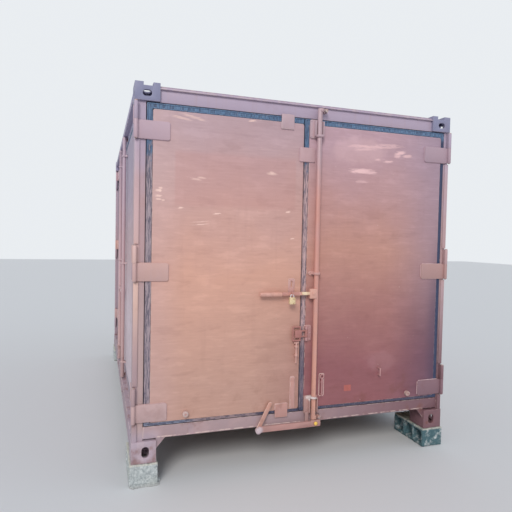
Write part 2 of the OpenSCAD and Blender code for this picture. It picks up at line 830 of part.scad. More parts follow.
// Bottom bar with its bolts, and the block under the foot of the lock rod
module bottom_bar() {
    block_x = end_rod_x - 20;
    color(paint_light) in_place() {
        box([bar_x0, bar_y - bar_half, bar_z - bar_lo], [block_x, bar_y + bar_half, bar_z + bar_hi]);
        box([block_x, bar_y - bar_half - 4, bar_z - 10], [bar_x1, bar_y + bar_half, rod_foot - 6]);
        rod_y_(bar_x0, bar_z, bar_y - 16, bar_y + bar_half, 20);
        rod_y_(bar_x0, bar_z, bar_y - 24, bar_y - 16, 11);
        rod_y_(bar_x0, bar_z, bar_y + bar_half, bar_y + 20, 8);
        rod_y_(bar_x0, bar_z, bar_y + 18.2, bar_y + 23, 12);
        rod_y_(end_rod_x + 13, bar_z + 14, bar_y - 22, bar_y - bar_half - 4, 9);
        rod_y_(bar_x1 - 12, bar_z + 14, bar_y - 18, bar_y - bar_half - 4, 11);
    }
}

module bottom_lever() {
    run = 200;
    color(paint_light) in_place() translate([bar_x0, bar_y + 18, bar_z]) rotate([90, 0, 0])
        linear_extrude(9.7) rotate(lever_slant) difference() {
            union() {
                translate([0, -15]) square([run, 30]);
                circle(18);
                translate([run, 0]) circle(15);
            }
            circle(8 + pin_fit);
        }
}

// Lock rod with a round off-centre cam at each end and a bolt through its head
module end_lock_rod() {
    color(paint_light) in_place() {
        rod_z(end_rod_x, rod_y, rod_foot, rod_head, rod_r);
        for (z = [rod_foot + 2, rod_head - cam_h]) rod_z(end_rod_x + cam_off, rod_y, z, z + cam_h, cam_r);
        rod_y_(end_rod_x + 4, rod_head - 12, rod_y - 22, rod_y, 9);
    }
}

// Handle: hub clamped on the rod, link, flat bar, eye for the padlock and round grip
module end_handle() {
    hub_x = end_rod_x - 54;
    link_x = hub_x - 64;
    grip_x = -205;
    color(paint_light) in_place() {
        difference() {
            box([hub_x, handle_y - 16, handle_z - 34], [end_rod_x, handle_y + 14, handle_z + 36]);
            rod_z(end_rod_x, rod_y, handle_z - 40, handle_z + 40, rod_r);
        }
        box([link_x, handle_y - 10, handle_z - 8], [hub_x, handle_y + 8, handle_z + 13]);
        box([grip_x, handle_y - 6, handle_z - 10], [link_x, handle_y + 6, handle_z + 12]);
        rod_x(handle_y, handle_z - 2, grip_r - handle_reach, grip_x, grip_r);
        for (x = [grip_r - handle_reach, grip_x]) translate([x, handle_y, handle_z - 2]) sphere(grip_r);
        difference() {
            box([lock_x - 3, -front_out, handle_z - 12], [lock_x + 3, handle_y - 5, handle_z + 16]);
            rod_x(lock_y, handle_z + 2, lock_x - 4, lock_x + 4, 7);
        }
    }
}

// Padlock: a body with rounded corners and a round shackle that hangs in the handle's eye
module padlock() {
    top = handle_z - 1.2;
    bow = 12;
    color(brass) in_place() {
        translate([0, lock_y + 10, 0]) rotate([90, 0, 0]) linear_extrude(20)
            rounded(lock_x - 22, lock_x + 22, top - 68, top - 20, 5);
        for (s = [-1, 1]) rod_z(lock_x + s * bow, lock_y, top - 22, top - bow, 3.5);
        translate([lock_x, lock_y, top - bow]) rotate([90, 0, 0])
            rotate_extrude(angle = 180) translate([bow, 0]) circle(3.5);
    }
}

// Second latch: knuckle, link and plate on an upright pin, with a wire loop round the plate's free end
module latch_flap() {
    z0 = latch_z0 + latch_knuckle_h + 4;
    z1 = latch_z1 - latch_knuckle_h - 4;
    loop_z = [latch_z0 + wire_r, latch_z1 - wire_r];
    loop_x = -97;
    plate_x = [-85, -33];
    color(paint) in_place() {
        difference() {
            union() {
                rod_z(latch_x, latch_y, z0, z1, latch_knuckle_r);
                for (z = [z0 + 7, z1 - 7]) rod_x(latch_y, z, plate_x[1] - 1, latch_x - 4, wire_r);
                box([plate_x[0], latch_y - 8, z0], [plate_x[1], latch_y - 2, z1]);
            }
            rod_z(latch_x, latch_y, z0 - 1, z1 + 1, latch_pin_r + pin_fit);
        }
        for (z = loop_z) rod_x(latch_y, z, loop_x, plate_x[1] - 7, wire_r);
        rod_z(loop_x, latch_y, loop_z[0], loop_z[1], wire_r);
        for (z = loop_z) translate([loop_x, latch_y, z]) sphere(wire_r);
        for (z = [[loop_z[0], z0 + 4], [z1 - 4, loop_z[1]]])
            rod_z(plate_x[1] - 9, latch_y, z[0], z[1], wire_r);
    }
}

// Side doors

module side_leaf(y0, y1) {
    difference() {
        side_plate(y0, y1, leaf_z0, leaf_z1, side_back, leaf_t, leaf_corner);
        box([side_back - rim_d, y0 + rim, leaf_z0 + rim], [side_back + 1, y1 - rim, leaf_z1 - rim]);
    }
}

module side_seal(y0, y1, leaf_y0, leaf_y1) {
    z0 = floor_top + seal_gap;
    z1 = header_bottom - seal_gap;
    difference() {
        side_plate(y0, y1, z0, z1, side_back - 5, leaf_t - 9, 10);
        box([side_face - 5, leaf_y0, leaf_z0], [side_back + 1, leaf_y1, leaf_z1]);
    }
}

module side_ring(y, z) {
    difference() {
        union() {
            rod_z(side_rod_x, y, z, z + guide_t, guide_r - 4);
            box([side_rod_x, y - guide_r + 4, z], [side_face, y + guide_r - 4, z + guide_t]);
            box([side_face - plate_t, y - 38, z], [side_face, y + 38, z + guide_t]);
        }
        rod_z(side_rod_x, y, z - 1, z + guide_t + 1, rod_r + pin_fit);
    }
}

// A side lock rod with its cams and its handle, drawn at y = 0 with the handle towards +Y
module side_rod_shape() {
    x = side_rod_x;
    z = side_handle_z;
    rod_z(x, 0, side_rod_foot, side_rod_head, rod_r);
    for (c = [side_rod_foot + 2, side_rod_head - cam_h - 2]) rod_z(x, 5, c, c + cam_h, cam_r);
    box([x - 14, 0, z - side_hub / 2], [x + 10, 50, z + side_hub / 2]);
    box([x - 10, 0, z - 12], [x + 2, side_bar_l, z + 12]);
    rod_y_(x - 4, z, side_bar_l, side_bar_l + side_grip_l, 13);
}

module near_side_leaf() { color(paint) in_place() side_leaf(near_y0, near_y1); }

module near_side_seal() {
    color(rubber) in_place() side_seal(side_y0 + seal_gap, near_y1, near_y0, near_y1 + 30);
}

module near_side_straps() { color(paint) in_place() at_side_straps() side_strap(); }

module near_rod_guides() {
    color(paint_light) in_place() for (z = side_ring_feet) side_ring(side_rod_ys[0], z);
}

module near_lock_rod() { color(paint_light) in_place() translate([0, side_rod_ys[0], 0]) side_rod_shape(); }

module far_side_leaf() { color(paint) in_place() side_leaf(far_y0, far_y1); }

module far_side_seal() {
    color(rubber) in_place() side_seal(far_y0 - mid_seal_w, side_y1 - seal_gap, far_y0, far_y1);
}

module far_side_straps() { color(paint) in_place() rear_copy() at_side_straps() side_strap(); }

module far_rod_guides() {
    color(paint_light) in_place() for (z = side_ring_feet) side_ring(side_rod_ys[1], z);
}

module far_lock_rod() {
    color(paint_light) in_place() translate([0, side_rod_ys[1], 0]) mirror([0, 1, 0]) side_rod_shape();
}

stand_blocks();
bottom_fittings();
top_fittings();
front_left_post();
front_right_post();
rear_left_post();
rear_right_post();
end_header();
header_lip();
end_sill();
rear_header();
rear_sill();
left_top_rail();
left_lintel();
right_top_rail();
left_bottom_rail();
right_bottom_rail();
fork_tunnels();
cross_members();
floor();
roof();
right_wall();
rear_wall();
post_knuckles();
hinge_pins();
lock_keepers();
left_end_leaf();
left_end_seal();
left_end_straps();
left_end_plates();
drop_pin();
right_end_leaf();
right_end_seal();
right_end_straps();
end_rod_guides();
right_end_plates();
bottom_bar();
bottom_lever();
end_lock_rod();
end_handle();
padlock();
latch_flap();
near_side_leaf();
near_side_seal();
near_side_straps();
near_rod_guides();
near_lock_rod();
far_side_leaf();
far_side_seal();
far_side_straps();
far_rod_guides();
far_lock_rod();
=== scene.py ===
# %% [markdown]
# # A weathered rail freight container on concrete blocks
#
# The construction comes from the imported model: posts, rails, doors, hinges, lock rods. This lesson gives it
# its looks. Every solid is softened along its edges, painted with procedural finishes that are laid out in
# metres over the whole container, and then the small things are added: rubber lips, weld beads, screws,
# floor boards, rough concrete.

# %% Load the model
import json
import math

import bmesh
import bpy
import numpy as np
from mathutils import Matrix, Vector

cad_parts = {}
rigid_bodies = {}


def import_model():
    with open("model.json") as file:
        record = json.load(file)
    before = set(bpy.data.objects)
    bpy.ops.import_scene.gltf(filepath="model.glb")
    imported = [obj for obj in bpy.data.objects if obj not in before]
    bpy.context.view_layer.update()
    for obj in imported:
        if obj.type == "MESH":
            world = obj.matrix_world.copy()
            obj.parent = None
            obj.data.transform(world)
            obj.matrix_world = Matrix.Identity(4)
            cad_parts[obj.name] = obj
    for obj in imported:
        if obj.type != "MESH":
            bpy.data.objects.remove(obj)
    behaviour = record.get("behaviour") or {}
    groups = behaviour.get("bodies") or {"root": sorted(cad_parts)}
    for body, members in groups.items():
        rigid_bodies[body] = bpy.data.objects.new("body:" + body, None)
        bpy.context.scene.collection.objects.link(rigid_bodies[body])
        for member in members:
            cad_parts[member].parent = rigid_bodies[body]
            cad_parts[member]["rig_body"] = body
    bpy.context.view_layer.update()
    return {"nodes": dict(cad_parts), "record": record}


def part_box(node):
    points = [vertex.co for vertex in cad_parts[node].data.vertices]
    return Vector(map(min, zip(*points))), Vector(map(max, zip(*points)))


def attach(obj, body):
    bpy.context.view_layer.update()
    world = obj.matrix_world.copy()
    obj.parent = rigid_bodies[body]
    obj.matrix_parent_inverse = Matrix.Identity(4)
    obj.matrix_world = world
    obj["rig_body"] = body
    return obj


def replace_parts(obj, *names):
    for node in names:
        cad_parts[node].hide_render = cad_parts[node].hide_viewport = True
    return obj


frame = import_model()
NODES = frame["nodes"]
SLOT_OF = {s["node"]: s["material_slot"] for s in frame["record"]["subparts"]}
scene = bpy.context.scene

# %% [markdown]
# ## Camera
#
# The photograph was taken at eye height, close to the door end and a little left of it, looking 18 degrees
# to the right. The camera's place, its angles and its lens were solved from the corners of the door end, so
# that the model's corners fall on the photographed ones.

# %% Camera at the photograph's angle
def look(place, yaw, pitch, roll, lens):
    """Camera whose axis is turned yaw degrees right of +Y and pitch degrees up, then rolled about itself."""
    yaw, pitch, roll = (math.radians(a) for a in (yaw, pitch, roll))
    ahead = Vector((math.sin(yaw) * math.cos(pitch), math.cos(yaw) * math.cos(pitch), math.sin(pitch)))
    side = Vector((math.cos(yaw), -math.sin(yaw), 0))
    up = side.cross(ahead)
    right = side * math.cos(roll) + up * math.sin(roll)
    top = up * math.cos(roll) - side * math.sin(roll)
    data = bpy.data.cameras.new("camera")
    data.sensor_width, data.lens = 36, lens
    cam = bpy.data.objects.new("camera", data)
    scene.collection.objects.link(cam)
    turn = Matrix((right, top, -ahead)).transposed()
    cam.matrix_world = Matrix.Translation(place) @ turn.to_4x4()
    scene.camera = cam
    print("camera", place, "lens", lens, "mm")


look((-1.433, -4.998, 1.652), yaw=18.26, pitch=-2.05, roll=1.14, lens=33.43)

# %% [markdown]
# ## A short way to write shader nodes
#
# A finish is a small graph of noise, stretches and thresholds, and a few helpers keep it readable. `add`
# makes a node and fills its sockets with values or links, `calc` is one step of arithmetic, and `blend`
# mixes two colours by a mask. `step` turns a smooth value into a mask with a soft edge, `noise` is noise at
# a scale or stretched, and `tinted` lays a tone over a colour. Colours are written as they show on a
# display, from 0 to 255, and `linear` turns them into the linear light that a shader works in.

# %% Node helpers
def add(tree, kind, sockets=(), out=0, **settings):
    """A new node with these settings, and with its sockets filled by index or name. Returns one output."""
    node = tree.nodes.new("ShaderNode" + kind)
    for key, value in settings.items():
        setattr(node, key, value)
    for key, value in dict(sockets).items():
        put(tree, node.inputs[key], value)
    return node.outputs[out]


def put(tree, socket, value):
    """Links a socket to another one, or sets it to a constant."""
    if isinstance(value, bpy.types.NodeSocket):
        tree.links.new(value, socket)
    elif isinstance(value, (tuple, list)) and socket.type == "RGBA":
        socket.default_value = (*value[:3], 1)
    else:
        socket.default_value = value


def calc(tree, op, a, b=0.0, clamp=False):
    """One step of arithmetic on two values."""
    return add(tree, "Math", {0: a, 1: b}, operation=op, use_clamp=clamp)


def times(tree, first, *others):
    """The product of two or more values."""
    for other in others:
        first = calc(tree, "MULTIPLY", first, other)
    return first


def blend(tree, mask, a, b, how="MIX"):
    """Colour a where the mask is 0, and where it is 1 colour b or what how makes of the two."""
    return add(tree, "Mix", {0: mask, 6: a, 7: b}, out=2, data_type="RGBA", blend_type=how)


def step(tree, value, low, high):
    """0 below low and 1 above high with a smooth rise between, or a fall where low is the larger."""
    return add(tree, "MapRange", {0: value, 1: low, 2: high}, interpolation_type="SMOOTHSTEP", clamp=True)


def spread(tree, value, old, new):
    """A value from one range, as a pair of limits, moved to another."""
    return add(tree, "MapRange", {0: value, 1: old[0], 2: old[1], 3: new[0], 4: new[1]})


def noise(tree, where, scale, detail=3.0, stretch=(1, 1, 1), shift=(0, 0, 0)):
    """Noise between 0 and 1, finer along an axis where stretch is larger."""
    moved = add(tree, "Mapping", {"Vector": where, "Scale": stretch, "Location": shift})
    return add(tree, "TexNoise", {"Vector": moved, "Scale": scale, "Detail": detail, "Roughness": 0.6})


def sway(tree, value, reach):
    """Noise moved to lie about 0 and multiplied by a reach."""
    return times(tree, calc(tree, "SUBTRACT", value, 0.5), reach)


def split(tree, place):
    """The three coordinates of a place."""
    node = tree.nodes.new("ShaderNodeSeparateXYZ")
    put(tree, node.inputs[0], place)
    return node.outputs


def linear(red, green, blue):
    """Display colour, 0 to 255, as linear light."""
    c = np.array([red, green, blue]) / 255
    return tuple(float(v) for v in np.where(c <= 0.04045, c / 12.92, ((c + 0.055) / 1.055) ** 2.4))


def tinted(tree, mask, amount, color, tone):
    """Color with a tone laid over it by a mask and an amount. A tone is a socket or a display colour."""
    return blend(tree, times(tree, mask, amount), color, linear(*tone) if isinstance(tone, tuple) else tone)


def between(tree, mask, first, second):
    """From one display colour to another by a mask."""
    return blend(tree, mask, linear(*first), linear(*second))


def group(name, inputs, outputs):
    """An empty node group with these sockets. Returns the tree, its inputs by name, and its outputs."""
    tree = bpy.data.node_groups.new(name, "ShaderNodeTree")
    kinds = {"v": "NodeSocketVector", "c": "NodeSocketColor", "f": "NodeSocketFloat"}
    for label, kind in inputs.items():
        tree.interface.new_socket(label, in_out="INPUT", socket_type=kinds[kind])
    for label, kind in outputs.items():
        tree.interface.new_socket(label, in_out="OUTPUT", socket_type=kinds[kind])
    start, end = tree.nodes.new("NodeGroupInput"), tree.nodes.new("NodeGroupOutput")
    return tree, {label: start.outputs[label] for label in inputs}, end.inputs


# %% [markdown]
# ## Light and floor
#
# Plain studio light: a broad sun from the front left for the direction of the daylight in the photograph, a
# faint one from the right, and an even sky that fills the rest. Together they light the door end at about
# one, so that a colour renders as it is written. The floor is pale, and the background is a pale colour that
# only the camera, reflections and glass see.

# %% Light, world and floor
scene.view_settings.view_transform = "Standard"


def lamp(name, energy, angle, direction, color):
    """A sun that looks angle degrees wide and shines in a direction."""
    data = bpy.data.lights.new(name, "SUN")
    data.energy, data.angle, data.color = energy, math.radians(angle), color
    obj = bpy.data.objects.new(name, data)
    obj.rotation_mode = "QUATERNION"
    obj.rotation_quaternion = Vector(direction).to_track_quat("-Z", "Y")
    scene.collection.objects.link(obj)


lamp("key", 1.75, 22, (0.42, 0.78, -0.62), (1.0, 0.97, 0.93))
lamp("fill", 0.38, 60, (-0.8, 0.3, -0.35), (0.88, 0.93, 1.0))


def seen_or_lit(tree, seen, lit):
    """One colour that the camera, a mirror or glass sees, and another that gives light."""
    path = tree.nodes.new("ShaderNodeLightPath").outputs
    direct = calc(tree, "MAXIMUM", path["Is Camera Ray"], path["Is Glossy Ray"])
    direct = calc(tree, "MAXIMUM", direct, path["Is Transmission Ray"])
    return blend(tree, direct, lit, seen)


BACKGROUND, SKY_LIGHT = (0.82, 0.85, 0.88), (0.47, 0.505, 0.56)
world = bpy.data.worlds.new("sky")
scene.world = world
world.use_nodes = True
tree = world.node_tree
put(tree, tree.nodes["Background"].inputs["Color"], seen_or_lit(tree, BACKGROUND, SKY_LIGHT))

bpy.ops.mesh.primitive_plane_add(size=60)
ground = bpy.context.object
ground.name = "studio_floor"
pale = bpy.data.materials.new("studio_floor")
pale.use_nodes = True
shader = pale.node_tree.nodes["Principled BSDF"].inputs
shader["Base Color"].default_value = (0.66, 0.67, 0.68, 1)
shader["Roughness"].default_value = 0.85
ground.data.materials.append(pale)

# %% [markdown]
# ## Faded paint
#
# Red-brown container paint bleaches to a pinkish salmon. It chalks most near the top, where the sun stands
# on it longest, and keeps its depth lower down. Over that come slow cloudy patches, faint upright runs left
# by rain, and a film of dirt that gathers low. The group returns one colour, a roughness and a height, so
# that every painted piece can share it with its own three tones.

# %% Shader group: faded paint
DIRT = (0.16, 0.12, 0.11)
tree, given, made = group("faded paint",
                          {"Place": "v", "Top": "c", "Middle": "c", "Low": "c", "Runs": "f", "Dirt": "f"},
                          {"Color": "c", "Roughness": "f", "Height": "f"})
place, top, low, runs = (given[label] for label in ("Place", "Top", "Low", "Runs"))
level = split(tree, place)[2]
cloud = noise(tree, place, 1.3, 4)
patch = noise(tree, place, 6.0, 5, shift=(3, 1, 7))
fine = noise(tree, place, 90.0, 3)
height = calc(tree, "ADD", level, sway(tree, cloud, 1.3))
tone = blend(tree, step(tree, height, 0.75, 1.75), low, given["Middle"])
tone = blend(tree, step(tree, height, 1.7, 2.55), tone, top)
tone = tinted(tree, step(tree, patch, 0.35, 0.75), 0.2, tone, top)
tone = tinted(tree, step(tree, patch, 0.5, 0.25), 0.15, tone, low)
run = noise(tree, place, 1.0, 4, stretch=(34, 34, 0.7))
tone = tinted(tree, step(tree, run, 0.52, 0.75), runs, tone, low)
pale_run = noise(tree, place, 1.0, 4, stretch=(21, 21, 0.9), shift=(5, 2, 1))
tone = tinted(tree, step(tree, pale_run, 0.56, 0.8), runs, tone, top)
film = times(tree, step(tree, level, 0.75, 0.2), step(tree, patch, 0.3, 0.6), given["Dirt"])
put(tree, made["Color"], blend(tree, film, tone, DIRT))
put(tree, made["Roughness"], spread(tree, patch, (0.2, 0.8), (0.42, 0.62)))
put(tree, made["Height"], calc(tree, "ADD", times(tree, patch, 0.5), times(tree, fine, 0.15)))
PAINT = tree
print("group:", PAINT.name, len(tree.nodes), "nodes")

# %% [markdown]
# ## Scrapes, chips and worn edges
#
# Goods and branches have drawn short, almost level scratches over the upper halves of the door sheets, where
# the chalked top coat is rubbed to a light pink. Chips are small and scattered. Edges wear first: each
# softened edge carries an attribute, `worn`, which is one on the rounding itself, and the mask breaks it up.
# Rust creeps out in patches, mostly low down.

# %% Shader group: marks in the paint
tree, given, made = group("marks", {"Place": "v", "Worn": "f", "Scrapes": "f", "Rust": "f"},
                          {"Scrape": "f", "Bare": "f", "Rusty": "f"})
place = given["Place"]
level = split(tree, place)[2]
stroke = noise(tree, place, 1.0, 5, stretch=(3.2, 3.2, 95))
where = noise(tree, place, 1.0, 3, stretch=(2.3, 2.3, 6.5), shift=(2.2, 0, 4.4))
upper = step(tree, level, 1.35, 2.1)
thin = noise(tree, place, 1.0, 2, stretch=(6, 6, 260), shift=(1, 5, 2))
mark = times(tree, step(tree, stroke, 0.56, 0.7), step(tree, where, 0.5, 0.62), step(tree, thin, 0.35, 0.6))
put(tree, made["Scrape"], times(tree, mark, upper, given["Scrapes"]))
speck = noise(tree, place, 38.0, 4, shift=(7, 7, 7))
crowd = noise(tree, place, 3.0, 3, shift=(9, 4, 2))
chip = times(tree, step(tree, speck, 0.71, 0.75), step(tree, crowd, 0.48, 0.62))
edge = times(tree, given["Worn"], step(tree, noise(tree, place, 26.0, 5), 0.44, 0.56))
put(tree, made["Bare"], calc(tree, "MAXIMUM", chip, edge))
creep = step(tree, noise(tree, place, 9.0, 6, shift=(1, 8, 3)), 0.52, 0.72)
near_floor = calc(tree, "ADD", step(tree, level, 0.95, 0.2), 0.18)
put(tree, made["Rusty"], calc(tree, "MULTIPLY", times(tree, creep, near_floor), given["Rust"], True))
MARKS = tree
print("group:", MARKS.name, len(tree.nodes), "nodes")

# %% [markdown]
# ## Single strokes
#
# The marks that catch the eye are few: clusters of short, pale, almost level strokes where a swinging door
# or goods have rubbed the top coat away. Each is a blunt ellipse with its own lean. Noise drawn out along x
# breaks the ellipse up into hairlines. One small group makes the mask, and a leaf adds as many strokes as it
# needs.

# %% Shader group: one stroke
tree, given, made = group("stroke", {"Place": "v", "Hair": "f", "X": "f", "Z": "f", "Long": "f", "High": "f",
                                     "Lean": "f"}, {"Mask": "f"})
across, _, level = split(tree, given["Place"])
along = calc(tree, "SUBTRACT", across, given["X"])
up = calc(tree, "SUBTRACT", calc(tree, "SUBTRACT", level, given["Z"]), times(tree, along, given["Lean"]))
part = []
for offset, size in ((along, "Long"), (up, "High")):
    share = calc(tree, "ABSOLUTE", calc(tree, "DIVIDE", offset, given[size]))
    part.append(calc(tree, "POWER", share, 3.0))
away = calc(tree, "POWER", calc(tree, "ADD", *part), 1 / 3)
away = calc(tree, "ADD", away, sway(tree, given["Hair"], 3.4))
put(tree, made["Mask"], step(tree, away, 1.15, 0.6))
STROKE = tree
print("group:", STROKE.name, len(tree.nodes), "nodes")

# %% [markdown]
# ## Materials of the painted steel
#
# The tones were set one by one beside the photograph: the left leaf is the lightest, the right one goes down
# to a deep red-brown, the frame has a lilac cast under the sky. Each is written once here. A tone function
# adds what only one piece has, such as painted shade in a corner, to the shared paint.

# %% Painted steel
RAMP_TOP = 2.7  # metres above the ground at the end of a colour ramp


def new_material(name):
    """A material with its node tree and the place of a point in metres, which all pieces share."""
    mat = bpy.data.materials.new(name)
    mat.use_nodes = True
    return mat, mat.node_tree, add(mat.node_tree, "TexCoord", out=3)


def edge_wear_and_shade(tree):
    """The attribute that is 1 on the rounding of an edge."""
    return add(tree, "Attribute", out=2, attribute_name="worn")


def surface(tree, color, rough, level, strength, distance, metal=0.0):
    """Sends a colour, a roughness and a metal share to the shader, and a height by way of a bump."""
    bump = add(tree, "Bump", {"Strength": strength, "Distance": distance, "Height": level})
    shader = tree.nodes["Principled BSDF"].inputs
    for socket, value in (("Base Color", color), ("Roughness", rough), ("Metallic", metal), ("Normal", bump)):
        put(tree, shader[socket], value)


def use(tree, shared, **sockets):
    """A shared group placed in a material, with its sockets filled."""
    node = tree.nodes.new("ShaderNodeGroup")
    node.node_tree = shared
    for key, value in sockets.items():
        put(tree, node.inputs[key], value)
    return node.outputs


def painted(name, top, middle, low, runs=0.35, dirt=0.7, scrapes=0.0, rust=0.5, extra=None):
    """Container paint with display colours for the head, the middle and the foot, and with its marks."""
    mat, tree, place = new_material(name)
    paint = use(tree, PAINT, Place=place, Top=linear(*top), Middle=linear(*middle), Low=linear(*low),
                Runs=runs, Dirt=dirt)
    marks = use(tree, MARKS, Place=place, Worn=edge_wear_and_shade(tree), Scrapes=scrapes, Rust=rust)
    color = extra(tree, place, paint["Color"]) if extra else paint["Color"]
    color = tinted(tree, marks["Scrape"], 0.75, color, (232, 196, 192))
    color = tinted(tree, marks["Bare"], 0.7, color, (222, 200, 190))
    color = blend(tree, marks["Rusty"], color, linear(120, 72, 52))
    rough = calc(tree, "ADD", paint["Roughness"], times(tree, marks["Rusty"], 0.3), True)
    level = calc(tree, "SUBTRACT", paint["Height"], times(tree, marks["Bare"], 0.5))
    surface(tree, color, rough, level, 0.35, 0.0015)
    return mat


def region(tree, place, centre, reach, ragged=0.5, soft=(1.2, 0.6)):
    """1 near centre and 0 beyond reach: the length of the offset divided by the reach, roughened by noise."""
    offset = add(tree, "VectorMath", {0: place, 1: centre}, operation="SUBTRACT")
    shaped = add(tree, "VectorMath", {0: offset, 1: reach}, operation="DIVIDE")
    away = add(tree, "VectorMath", {0: shaped}, out=1, operation="LENGTH")
    return step(tree, calc(tree, "ADD", away, sway(tree, noise(tree, place, 9.0, 5), ragged)), *soft)


def within(tree, value, low, high, edge=0.001):
    """1 where a value lies between two limits."""
    return times(tree, step(tree, value, low, low + edge), step(tree, value, high, high - edge))


def ramp(tree, height, stops):
    """A colour that changes with height, from (height in metres, display colour) pairs, lowest first."""
    out = add(tree, "ValToRGB", {0: calc(tree, "DIVIDE", height, RAMP_TOP)})
    band = out.node.color_ramp
    for k, (z, tone) in enumerate(stops):
        stop = band.elements[k] if k < 2 else band.elements.new(z / RAMP_TOP)
        stop.position, stop.color = z / RAMP_TOP, (*linear(*tone), 1)
    return out


def brushed(tree, place, color):
    """Fine level brush strokes, broad smudges and faint upright rain runs, a little lighter or darker."""
    light = blend(tree, 1.0, color, (1.3, 1.34, 1.36), "MULTIPLY")
    dark = blend(tree, 1.0, color, (0.72, 0.68, 0.68), "MULTIPLY")
    fine = noise(tree, place, 1.0, 5, stretch=(8, 8, 85), shift=(6, 2, 9))
    smudge = noise(tree, place, 1.0, 5, stretch=(4.5, 4.5, 13), shift=(2, 8, 3))
    run = noise(tree, place, 1.0, 5, stretch=(16, 16, 1.5), shift=(1, 3, 5))
    for pattern, low, high, amount, tone in (
            (fine, 0.5, 0.72, 0.2, light), (fine, 0.48, 0.3, 0.16, dark), (smudge, 0.52, 0.68, 0.3, light),
            (smudge, 0.46, 0.32, 0.3, dark), (run, 0.52, 0.72, 0.12, dark)):
        color = tinted(tree, step(tree, pattern, low, high), amount, color, tone)
    return color


def stroked(tree, place, color, strokes, tone):
    """Color with strokes of a tone. Each is x, z, length, height, lean in degrees and strength."""
    hair = noise(tree, place, 1.0, 5, stretch=(17, 17, 300))
    for x, z, length, height, lean, strength in strokes:
        mask = use(tree, STROKE, Place=place, Hair=hair, X=x, Z=z, Long=length, High=height,
                   Lean=math.tan(math.radians(lean)))["Mask"]
        color = tinted(tree, mask, strength, color, tone)
    return color


def rubs(seed, x, z, wide, tall, count, length, height, lean, strength):
    """Strokes about a place. Their offsets, up to wide and tall, sizes and leans are drawn at random."""
    r = np.random.default_rng(seed)
    across, up = r.uniform(-wide, wide, count), r.uniform(-tall, tall, count)
    size, thick, turn = r.uniform(0.6, 1.2, count), r.uniform(0.7, 1.2, count), r.uniform(-2, 2, count)
    return [(x + across[k], z + up[k], length * size[k], height * thick[k], lean + turn[k], strength)
            for k in range(count)]


# Places on the door end in metres: from its middle, and above the ground
RIGHT_STROKES = rubs(1, 0.52, 2.37, 0.16, 0.03, 5, 0.11, 0.012, 3, 0.5)
RIGHT_STROKES += rubs(2, 0.80, 2.33, 0.06, 0.02, 4, 0.045, 0.013, 6, 0.7)
RIGHT_STROKES += rubs(3, 0.46, 2.18, 0.06, 0.012, 5, 0.07, 0.012, 0, 0.75)
RIGHT_STROKES += rubs(4, 0.57, 2.27, 0.11, 0.01, 3, 0.035, 0.007, 2, 0.6)
RIGHT_STROKES += rubs(5, 0.43, 2.10, 0.02, 0.01, 2, 0.07, 0.009, 0, 0.3)
LEFT_STROKES = rubs(6, -1.06, 1.94, 0.025, 0.05, 6, 0.018, 0.008, 0, 0.75)
LEFT_STROKES += rubs(7, -0.79, 1.75, 0.02, 0.015, 3, 0.055, 0.004, 6, 0.5)
LEFT_STROKES += rubs(8, -0.81, 2.05, 0.03, 0.012, 2, 0.03, 0.007, -4, 0.5)
LEFT_STROKES += rubs(9, -0.28, 2.10, 0.015, 0.03, 3, 0.028, 0.008, -8, 0.5)
LEFT_STROKES += rubs(10, -0.89, 2.45, 0.05, 0.01, 2, 0.09, 0.008, -11, 0.45)
CHIPS = [(-0.92, 1.85), (-0.67, 1.82), (-0.15, 1.85), (-0.11, 1.66), (-0.43, 2.47)]
for seed, (chip_x, chip_z) in enumerate(CHIPS, 20):
    LEFT_STROKES += rubs(seed, chip_x, chip_z, 0, 0, 1, 0.025, 0.006, 8, 0.9)

# The paint of a leaf near its foot, at half height and near its head: metres above the ground, display colour
RIGHT_TONES = [(0.7, (145, 90, 95)), (1.6, (190, 140, 125)), (2.4, (180, 145, 155))]
LEFT_TONES = [(0.6, (190, 150, 135)), (1.4, (210, 160, 140)), (2.4, (180, 150, 155))]


def drifting(tree, place, level, far):
    """Height with a slow wander, so that bands of tone do not end in level lines."""
    return calc(tree, "ADD", level, sway(tree, noise(tree, place, 2.2, 4), far))


def right_leaf_tones(tree, place, color):
    """The right leaf: salmon above, deep red below, painted shade towards its hinges and along its right
    edge, one square of newer paint.
    """
    x, _, z = split(tree, place)
    color = blend(tree, 0.85, color, ramp(tree, drifting(tree, place, z, 0.4), RIGHT_TONES))
    # Painted shade: bluish dark towards the hinges, deepest low down, and along the right edge
    hinge_shade = between(tree, step(tree, z, 0.8, 1.7), (84, 70, 96), (150, 132, 152))
    color = tinted(tree, step(tree, x, 0.62, 1.2), 0.62, color, hinge_shade)
    edge = times(tree, step(tree, x, 1.04, 1.15), step(tree, z, 1.9, 1.0))
    color = tinted(tree, edge, 0.5, color, (78, 66, 90))
    color = brushed(tree, place, color)
    chalk = region(tree, place, (0.42, -1.82, 2.33), (0.26, 0.3, 0.1), 1.2)
    color = tinted(tree, chalk, 0.3, color, (226, 186, 188))
    smear = region(tree, place, (0.66, -1.82, 0.72), (0.13, 0.3, 0.09), 1.4)
    color = tinted(tree, smear, 0.4, color, (172, 124, 128))
    square = times(tree, within(tree, x, 0.335, 0.4, 0.006), within(tree, z, 0.508, 0.56, 0.006))
    color = tinted(tree, square, 0.6, color, (200, 106, 92))
    return stroked(tree, place, color, RIGHT_STROKES, (236, 194, 194))


